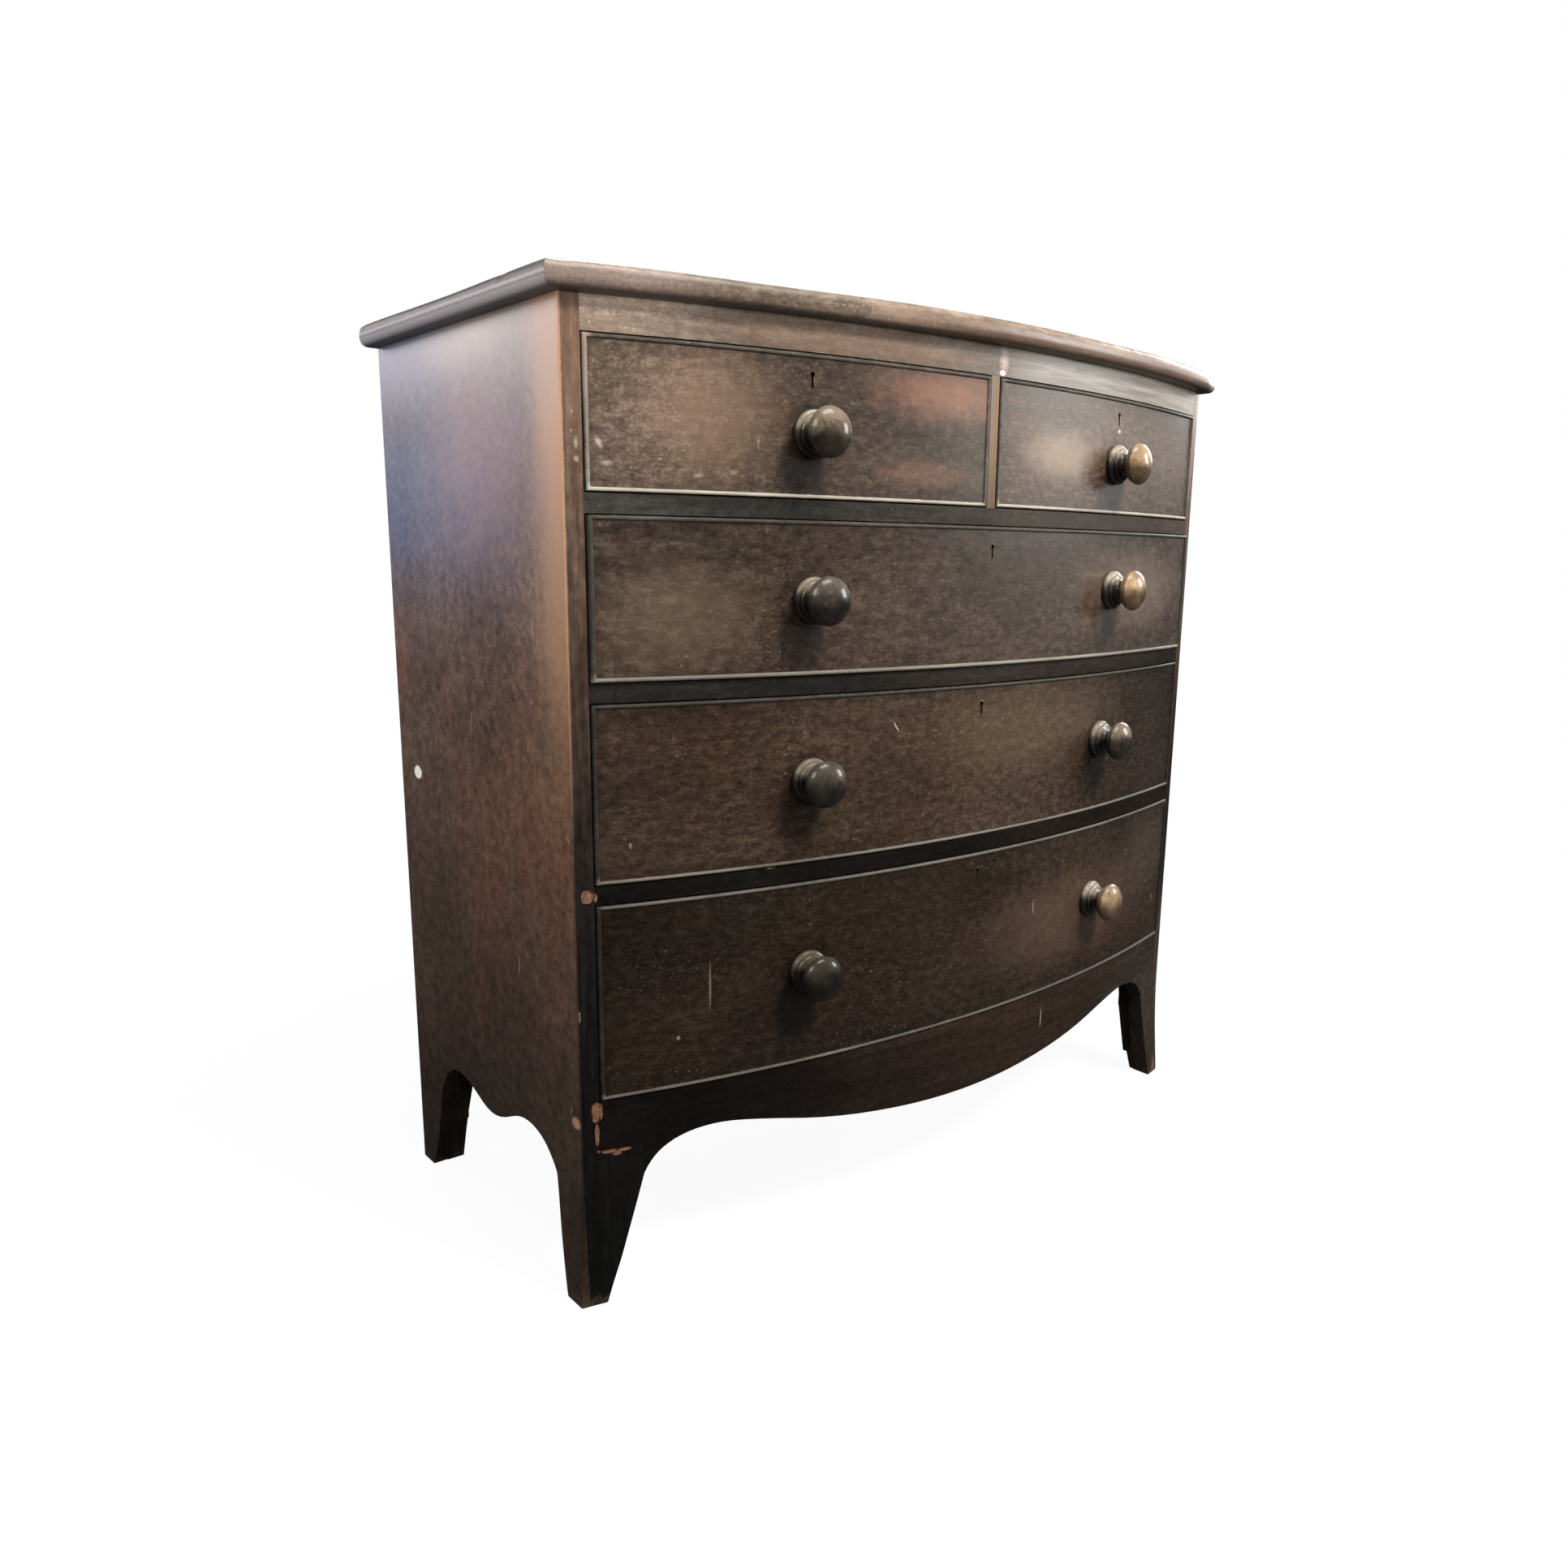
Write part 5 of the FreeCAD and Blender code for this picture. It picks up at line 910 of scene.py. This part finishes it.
bm = bmesh.new()
for sx in (-1.0, 1.0):
    rings = []
    for i in range(111):
        f = i / 110
        ring = []
        for u, w in MOULD:
            way = LINE * (1 - f) + BACK * f
            corner = 0.17 * bell(way, LINE, 0.045) if sx > 0 else 0.0
            uu, ww = worn(u, w, way, 5.0 + sx, 1.2 * bell(f, 0.5, 0.45) if sx < 0 else 0.0, corner)
            y0 = YC - math.sqrt((R + uu * 0.001) ** 2 - (HALF + uu * 0.001) ** 2) + 0.00004
            ring.append((sx * (HALF + uu * 0.001), y0 * (1 - f) + BACK * f, LOW + ww * 0.001))
        rings.append(ring)
    skin(bm, rings)
make("top_moulding_sides_finish", bm, ["top_moulding_sides"], "carcass", [M_MOULD_S], angle=32.0)


# ---- cockbeads: one mitred frame to a drawer, nose half round
BEAD = 4.5
PROUD = 2.0


def bead_frame(which):
    lo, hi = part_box(which + "_drawer_front")
    x0, x1, z0, z1 = lo[0] * 1000, hi[0] * 1000, lo[2] * 1000, hi[2] * 1000
    ajar = AJAR.get(which, 0.0)
    r = BEAD / 2
    prof = [(0.0, -12.0), (0.0, PROUD - r)]
    for i in range(1, 12):
        a = math.pi * i / 12
        prof.append((r - r * math.cos(a), PROUD - r + r * math.sin(a)))
    prof += [(BEAD, PROUD - r), (BEAD, -12.0)]
    rings = []

    def ring(fx, fz, seed):
        out = []
        for s, t in prof:
            x = (x0 + s) * (1 - fx) + (x1 - s) * fx
            z = (z0 + s) * (1 - fz) + (z1 - s) * fz
            if t > 0.2:
                k = noise.noise(Vector((x * 0.05, z * 0.05, seed)))
                k2 = noise.noise(Vector((x * 0.22, z * 0.22, seed + 3.0)))
                t -= 0.16 * max(0.0, k) + (0.5 * max(0.0, k2 - 0.38) if 0 < s < BEAD else 0.0)
            out.append((x * 0.001, bow(x * 0.001, t * 0.001) - ajar, z * 0.001))
        return out

    nx = max(24, int((x1 - x0) / 7))
    nz = max(12, int((z1 - z0) / 7))
    rings += [ring(i / nx, 0.0, 1.0) for i in range(nx)]
    rings += [ring(1.0, i / nz, 2.0) for i in range(nz)]
    rings += [ring(1.0 - i / nx, 1.0, 3.0) for i in range(nx)]
    rings += [ring(0.0, 1.0 - i / nz, 4.0) for i in range(nz)]
    bm = bmesh.new()
    lay = bm.verts.layers.float_vector.new("painted_highlight")
    skin(bm, rings, closed=True)
    # painted highlight levels: 1 for the lower bead of each drawer, these for the sides and the top
    side = {"left": 0.16, "right": 0.16, "upper": 0.10, "middle": 0.07, "lower": 0.05}[which]
    top = {"left": 0.11, "right": 0.11, "upper": 0.16, "middle": 0.18, "lower": 0.85}[which]
    # the bead by the left corner of the case gets a stronger painted highlight
    near = 0.36 if which == "left" else side
    runs = [1.0] * nx + [side] * nz + [top] * nx + [near] * nz
    bm.verts.ensure_lookup_table()
    for i, k in enumerate(runs):
        for v in bm.verts[i * len(prof):(i + 1) * len(prof)]:
            v[lay] = Vector((k, 0.0, 0.0))
    # the bead tones darken from the top row down: painted light, as the drawer tones
    mat = bead_material("mahogany_bead_" + which, {"left": 0.74, "right": 0.74, "upper": 0.38, "middle": 0.29, "lower": 0.27}[which])
    make(which + "_drawer_cockbeads_finish", bm, [which + "_drawer_cockbeads"], which + "_drawer", [mat],
         angle=50.0)


# ---- knobs
FOOT = [(0.0, 22.6), (1.6, 24.0), (4.2, 24.6), (6.9, 23.6), (8.4, 21.4)]
COLLAR = [(8.6, 19.6), (10.2, 20.4), (12.0, 19.0), (13.0, 16.2)]
NECK = [(14.2, 13.2), (16.6, 12.0), (19.2, 13.4), (22.0, 17.2), (25.6, 21.6), (29.6, 24.4), (33.4, 25.6)]
FACE = [(34.6, 25.2), (37.6, 23.4), (41.0, 19.4), (43.8, 13.6), (45.6, 7.0), (46.2, 0.0)]
# the tan laid on each head: on the right-hand knobs a painted warm reflection with some of the wood's own tone, on the
# others small steps of tone
TAN = {("left", 0): 0.11, ("right", 0): 0.58, ("upper", 0): 0.0, ("upper", 1): 0.74, ("middle", 0): -0.02,
       ("middle", 1): 0.06, ("lower", 0): -0.05, ("lower", 1): 0.56}


def knobs(which):
    bm = bmesh.new()
    lay = bm.verts.layers.float_vector.new("turn")
    lay2 = bm.verts.layers.float_vector.new("rise")
    prof = [(-21.5, 6.0), (-0.4, 6.0), (-0.4, 22.2)] + curve(FOOT, 4) + curve(COLLAR, 4) + curve(NECK, 5) + \
        curve([(33.4, 25.6)] + FACE, 6)[1:-1]
    seg = 96
    for k, (x, z) in enumerate(KNOBS[which]):
        a = math.asin(x / R)
        p = Vector((x, bow(x) - AJAR.get(which, 0.0), z))
        n, t, zz = Vector((math.sin(a), -math.cos(a), 0.0)), Vector((math.cos(a), math.sin(a), 0.0)), Vector((0, 0, 1))
        tan = TAN[(which, k)]
        rings = []
        for u, r in prof:
            ring = []
            for i in range(seg):
                f = 2 * math.pi * i / seg
                # the turning is a touch out of true, as old handwork is
                rr = r * (1.0 - 0.004 * (1 + math.cos(f * 2 + k + u * 0.02))) if u > 0 else r
                v = bm.verts.new(p + n * (u * 0.001) + (t * math.cos(f) + zz * math.sin(f)) * (rr * 0.001))
                v[lay] = Vector((u, r, tan))
                v[lay2] = Vector((math.sin(f) * r / 25.0, 0.0, 0.0))
                ring.append(v)
            rings.append(ring)
        for ra, rb in zip(rings, rings[1:]):
            for i in range(seg):
                j = (i + 1) % seg
                bm.faces.new((ra[i], ra[j], rb[j], rb[i]))
        tip = bm.verts.new(p + n * 0.0462)
        tip[lay] = Vector((46.2, 0.0, tan))
        end = bm.verts.new(p - n * 0.0215)
        end[lay] = Vector((-21.5, 0.0, tan))
        for i in range(seg):
            j = (i + 1) % seg
            bm.faces.new((rings[-1][i], rings[-1][j], tip))
            bm.faces.new((rings[0][j], rings[0][i], end))
    node = which + ("_drawer_knob" if len(KNOBS[which]) == 1 else "_drawer_knobs")
    make(node + "_finish", bm, [node], which + "_drawer", [M_KNOB], angle=38.0)


# ---- brass thread let into each keyhole
def thread(which):
    x, z = KEYS[which]
    a = math.asin(x / R)
    p = Vector((x, bow(x) - AJAR.get(which, 0.0), z))
    n, t = Vector((math.sin(a), -math.cos(a), 0.0)), Vector((math.cos(a), math.sin(a), 0.0))

    def outline(d):
        r, h, low = 2.9 + d, 1.5 + d, -7.8 - d
        a0 = math.asin(h / r)
        pts = [(-h, low), (-h, (low + 2.4) / 2)]
        for i in range(33):
            f = -math.pi / 2 - a0 - (2 * math.pi - 2 * a0) * i / 32
            pts.append((r * math.cos(f), 4.9 + r * math.sin(f)))
        pts += [(h, (low + 2.4) / 2), (h, low)]
        return pts

    bm = bmesh.new()
    rings = []
    for d, out in ((-0.30, -3.0), (-0.30, 0.02), (-0.20, 0.12), (0.60, 0.12), (0.75, 0.0), (0.75, -3.0)):
        rings.append([bm.verts.new(p + t * (u * 0.001) + Vector((0, 0, v * 0.001)) + n * (out * 0.001))
                      for u, v in outline(d)])
    k = len(rings[0])
    for i in range(len(rings)):
        ra, rb = rings[i], rings[(i + 1) % len(rings)]
        for j in range(k):
            m = (j + 1) % k
            bm.faces.new((ra[j], ra[m], rb[m], rb[j]))
    make(which + "_drawer_keyhole_thread", bm, [], which + "_drawer", [M_BRASS], angle=40.0)


BOX = {d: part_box(d + "_drawer_front") for d in DRAWERS}
# per drawer: tone, warmth, seed, falloff at the left end, middle and right end, and shine; the tones darken from the
# top row down and the falloffs shade each front from end to end, both painted light
TONE = {"left": (0.36, -0.06, 31.0, (1.98, 0.93, 0.98), 0.9), "right": (0.515, -0.07, 37.0, (1.0, 1.0, 0.86), 0.72),
        "upper": (0.280, -0.02, 41.0, (1.08, 1.0, 0.98), 0.8), "middle": (0.245, 0.05, 47.0, (0.84, 1.12, 0.50), 0.66),
        "lower": (0.150, 0.02, 53.0, (0.70, 0.95, 1.34), 0.6)}
for d in DRAWERS:
    lo, hi = BOX[d]
    tone, warm, seed, fall, shine = TONE[d]
    mat = drawer_material("mahogany_" + d + "_drawer", d, lo[2] + 0.0045, hi[2] - 0.0045, lo[0] + 0.0045,
                          hi[0] - 0.0045, seed, tone, warm, MARKS[d], fall, shine)
    soft_copy(d + "_drawer_front", [mat], bevels=(), weighted=True)
    bead_frame(d)
    knobs(d)
    thread(d)

# ---- case pieces
# losses: veneer gone from the foot of the left upright and along the joints there, chips at rail ends
LOSSES = {
    "front_facings": [
        splinter(-0.4955, 0.2215, ragged(0.6, 0.0, 4.6, 11.6, 16, 1.0, 0.22), 0.0011),
        splinter(-0.4945, 0.1960, ragged(0.4, 0.0, 2.6, 13.5, 18, 2.0, 0.20), 0.0009),
        splinter(-0.4980, 0.4565, ragged(0.0, 0.0, 6.6, 7.2, 16, 3.0, 0.22), 0.0012),
        splinter(-0.4985, 0.8900, ragged(0.0, 0.0, 0.9, 2.2, 8, 5.0, 0.25), 0.0005),
        splinter(-0.5050, 0.7000, ragged(-3.6, 0.0, 1.6, 4.0, 9, 6.0, 0.25), 0.0007),
        splinter(-0.5050, 0.3300, ragged(-3.9, 0.0, 1.4, 6.0, 9, 7.0, 0.25), 0.0006),
    ],
    "apron": [
        splinter(-0.4880, 0.2215, ragged(-1.6, 0.0, 2.6, 9.0, 12, 1.5, 0.25), 0.0010),
    ],
    "front_foot_left": [
        splinter(-0.4815, 0.1753, ragged(0.0, 0.0, 8.8, 2.3, 18, 9.0, 0.14), 0.0010),
        splinter(-0.4655, 0.1748, ragged(0.0, 0.0, 7.6, 2.1, 16, 4.0, 0.16), 0.0009),
        splinter(-0.4740, 0.1716, ragged(0.0, 0.0, 5.2, 2.6, 14, 12.0, 0.16), 0.0009),
        splinter(-0.4930, 0.1770, ragged(0.0, 0.0, 2.0, 2.2, 9, 10.0, 0.22), 0.0010),
    ],
    "drawer_rails": [
        splinter(-0.4880, 0.4560, ragged(-1.8, -1.0, 2.4, 4.8, 10, 11.0, 0.25), 0.0010),
        splinter(-0.3000, 0.4660, ragged(0.0, 0.0, 6.0, 1.0, 10, 12.0, 0.25), 0.0007),
    ],
}


def exposed(c, e):
    """Edges of a side that are in sight and aren't the flush joint with the front upright."""
    if abs(c.y - (LINE + 0.008)) < 2e-4 or abs(c.z - 0.178) < 2e-4 and c.y < LINE + 0.06:
        return False
    return not (abs(c.y - (LINE + 0.057)) < 2e-4 and c.z > 0.128)


def outer_face(f):
    """Slot 2 for the faces that lie flush in the side of the case."""
    return 2 if abs(f.normal.x) > 0.75 and abs(f.calc_center_median().x) > 0.5085 else 0


for node in ("side_left", "side_right"):
    soft_copy(node, [M_UP],
              bevels=((0.0030, lambda c, e: c.z < 2e-4), (0.0007, lambda c, e: exposed(c, e) and c.z > 0.0045)))

soft_copy("front_facings", [M_FRONT, M_BARE, M_UP], cutters=LOSSES["front_facings"], pick=outer_face,
          bevels=((0.0013, lambda c, e: abs(abs(c.x) - HALF) < 1e-4 and abs(c.y - LINE) < 5e-4
                   and abs(e.verts[0].co.z - e.verts[1].co.z) > 0.1),
                  (0.0003, lambda c, e: abs(abs(c.x) - 0.491) < 1e-4 and c.y < LINE - 0.002
                   and abs(e.verts[0].co.z - e.verts[1].co.z) > 0.1)))


def toe_edge(c, e):
    """Edges round the sole of a foot, knocked round by use."""
    return c.z < 2e-4


def foot_edge(c, e):
    return c.z < 0.1765 and not (abs(c.y - (LINE + 0.057)) < 2e-4 and c.z > 0.128)


for node in ("front_foot_left", "front_foot_right"):
    soft_copy(node, [M_FRONT, M_BARE, M_UP], cutters=LOSSES.get(node, ()), pick=outer_face,
              bevels=((0.0030, toe_edge), (0.0009, lambda c, e: foot_edge(c, e) and c.z > 0.0045)))
soft_copy("apron", [M_APRON, M_BARE], cutters=LOSSES["apron"],
          bevels=((0.0007, lambda c, e: c.z < 0.190 and abs(c.x) < 0.4895),))
soft_copy("frieze_rail", [M_FRIEZE],
          bevels=((0.0004, lambda c, e: c.y < LINE - 0.003 and c.z < 1.0 and abs(c.x) < 0.4895
                   and abs(e.verts[0].co.z - e.verts[1].co.z) < 1e-4 and c.y < bow(c.x) + 0.001),))
soft_copy("drawer_rails", [M_RAIL, M_BARE], cutters=LOSSES["drawer_rails"],
          bevels=((0.0005, lambda c, e: c.y < bow(c.x) + 0.001 and abs(c.x) < 0.4895
                   and abs(e.verts[0].co.z - e.verts[1].co.z) < 1e-4),))
soft_copy("centre_muntin", [M_FRONT],
          bevels=((0.0008, lambda c, e: c.y < bow(0.007) + 0.001 and abs(e.verts[0].co.z - e.verts[1].co.z) > 0.1),))
soft_copy("top_board", [M_TOP],
          bevels=((0.0008, lambda c, e: c.y > BACK - 0.001),))
soft_copy("back_boards", [M_PINE_Z], bevels=(), weighted=True)
soft_copy("back_foot_brackets", [M_BLOCK], bevels=((0.0008, None),))
for o in [o for o in bpy.data.objects if o.name.startswith("cutter")]:
    bpy.data.objects.remove(o)

# ---- the rest keeps its CAD shape and gets its finish
FINISH = {"centre_partition": M_PINE_Y, "dust_boards": M_PINE_X, "kicker_strips": M_PINE_Y, "drawer_stops": M_PINE_X,
          "glue_blocks": M_BLOCK, "back_board_nails": M_IRON}
for d in DRAWERS:
    FINISH[d + "_drawer_sides"] = M_LINING_Y
    FINISH[d + "_drawer_back"] = M_LINING_X
    FINISH[d + "_drawer_bottom"] = M_BOTTOM
    FINISH[d + "_drawer_lock"] = M_BRASS
    FINISH[d + "_drawer_lock_bolt"] = M_BRASS
for node, mat in FINISH.items():
    for sl in NODE[node].material_slots:
        sl.material = mat

# ------------------------------------------------------------------ stage
bpy.ops.mesh.primitive_plane_add(size=60, location=(0, 0, 0))
floor = bpy.context.object
floor.name = "floor"
f = Shade("floor_paper")
f.mat.name = "floor_paper"
rad = f.m("SQRT", f.add(f.mul(f.x, f.x), f.mul(f.y, f.y)))
grain = f.noise(f.obj, 60.0, 3.0, 0.5)
f.put(f.mix(grain, (0.80, 0.80, 0.80), (0.84, 0.84, 0.84)), f.bsdf.inputs["Base Color"])
f.bsdf.inputs["Roughness"].default_value = 0.9
f.bsdf.inputs["Specular IOR Level"].default_value = 0.1
glow = f.nodes.new("ShaderNodeEmission")
glow.inputs["Color"].default_value = (1, 1, 1, 1)
glow.inputs["Strength"].default_value = 1.0
fade = f.nodes.new("ShaderNodeMixShader")
f.put(f.step(rad, 0.35, 1.3, 0.94, 1.0), fade.inputs[0])
f.tree.links.new(f.bsdf.outputs[0], fade.inputs[1])
f.tree.links.new(glow.outputs[0], fade.inputs[2])
dim = f.nodes.new("ShaderNodeBsdfDiffuse")
dim.inputs["Color"].default_value = (0.055, 0.05, 0.05, 1)
path = f.nodes.new("ShaderNodeLightPath")
pick = f.nodes.new("ShaderNodeMixShader")
f.tree.links.new(path.outputs["Is Camera Ray"], pick.inputs[0])
f.tree.links.new(dim.outputs[0], pick.inputs[1])
f.tree.links.new(fade.outputs[0], pick.inputs[2])
f.tree.links.new(pick.outputs[0], f.nodes["Material Output"].inputs["Surface"])
floor.data.materials.append(f.mat)
floor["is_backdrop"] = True

w = bpy.data.worlds.new("studio")
scene.world = w
w.use_nodes = True
wt = w.node_tree
bg = wt.nodes["Background"]
bg.inputs[0].default_value = (0.93, 0.96, 1.0, 1)
bg.inputs[1].default_value = 0.17
white = wt.nodes.new("ShaderNodeBackground")
white.inputs[0].default_value = (1, 1, 1, 1)
white.inputs[1].default_value = 1.0
lp = wt.nodes.new("ShaderNodeLightPath")
mx = wt.nodes.new("ShaderNodeMixShader")
wt.links.new(lp.outputs["Is Camera Ray"], mx.inputs[0])
wt.links.new(bg.outputs[0], mx.inputs[1])
wt.links.new(white.outputs[0], mx.inputs[2])
wt.links.new(mx.outputs[0], wt.nodes["World Output"].inputs["Surface"])
scene.view_settings.view_transform = "Standard"
scene.view_settings.look = "None"


def softbox(name, loc, target, sx, sy, energy, colour, spread=180.0, glossy=True, diffuse=True):
    d = bpy.data.lights.new(name, "AREA")
    d.spread = math.radians(spread)
    d.shape = "RECTANGLE"
    d.size, d.size_y = sx, sy
    d.energy = energy
    d.color = colour
    o = bpy.data.objects.new(name, d)
    scene.collection.objects.link(o)
    o.location = loc
    o.rotation_mode = "QUATERNION"
    o.rotation_quaternion = (Vector(target) - Vector(loc)).to_track_quat("-Z", "Y")
    o.visible_camera = False
    o.visible_glossy = glossy
    o.visible_diffuse = diffuse
    return o


softbox("key", (0.40, -2.25, 2.70), (-0.10, -0.20, 1.05), 0.8, 0.6, 56.0, (1.0, 0.98, 0.94), spread=90.0, glossy=False)
softbox("low_front", (-0.7, -3.0, 1.10), (-0.05, -0.50, 1.02), 1.6, 1.0, 10.0, (1.0, 0.97, 0.92), spread=55.0, glossy=False)
softbox("low_left", (-3.0, -0.7, 0.75), (-0.5, 0.05, 0.95), 1.4, 1.0, 5.0, (1.0, 0.96, 0.93), spread=60.0, glossy=False)
softbox("overhead", (0.05, -1.15, 3.05), (0.0, -0.25, 0.9), 1.4, 0.9, 38.0, (0.97, 1.0, 0.94))
softbox("ceiling", (0.0, 0.95, 2.35), (-0.2, -0.2, 0.8), 0.7, 0.5, 20.0, (0.97, 1.0, 0.94), diffuse=False)
softbox("side_window", (2.5, 0.15, 1.72), (0.0, -0.2, 0.8), 0.5, 1.1, 26.0, (1.0, 0.98, 0.96), diffuse=False)
softbox("window", (-2.0, 2.6, 1.95), (-0.5, 0.1, 1.0), 2.0, 1.3, 51.0, (0.97, 0.92, 0.99))
softbox("pane", (-1.47, 2.6, 0.955), (-0.5, 0.2, 0.9), 0.30, 0.34, 1.8, (0.12, 0.40, 1.0))
softbox("fill_right", (2.60, -1.80, 1.60), (0.2, -0.2, 0.75), 0.9, 1.0, 41.0, (1.0, 0.985, 0.955))
softbox("left_front", (-2.2, -1.0, 2.2), (-0.5, 0.0, 0.9), 1.2, 1.0, 34.0, (1.0, 0.90, 0.80))

# ------------------------------------------------------------------ camera
cam_data = bpy.data.cameras.new("camera")
cam = bpy.data.objects.new("camera", cam_data)
scene.collection.objects.link(cam)
scene.camera = cam
cam_data.sensor_width = 36.0
cam_data.lens = 1518.097 / 1932.0 * 36.0
cam_data.shift_x = -(990.815 - 966.0) / 1932.0
cam_data.shift_y = (1012.685 - 966.0) / 1932.0
right = Vector((0.7723464576, -0.6351169854, 0.0103616728))
up = Vector((0.1243768354, 0.1672072917, 0.9780450524))
back = Vector((-0.6229055725, -0.7541008795, 0.2081358001))
cam.matrix_world = Matrix(((right.x, up.x, back.x, -1.0944084), (right.y, up.y, back.y, -1.0685069 + LINE),
                           (right.z, up.z, back.z, 0.792162), (0, 0, 0, 1)))
cam_data.clip_start = 0.05
cam_data.clip_end = 90

lo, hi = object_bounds()
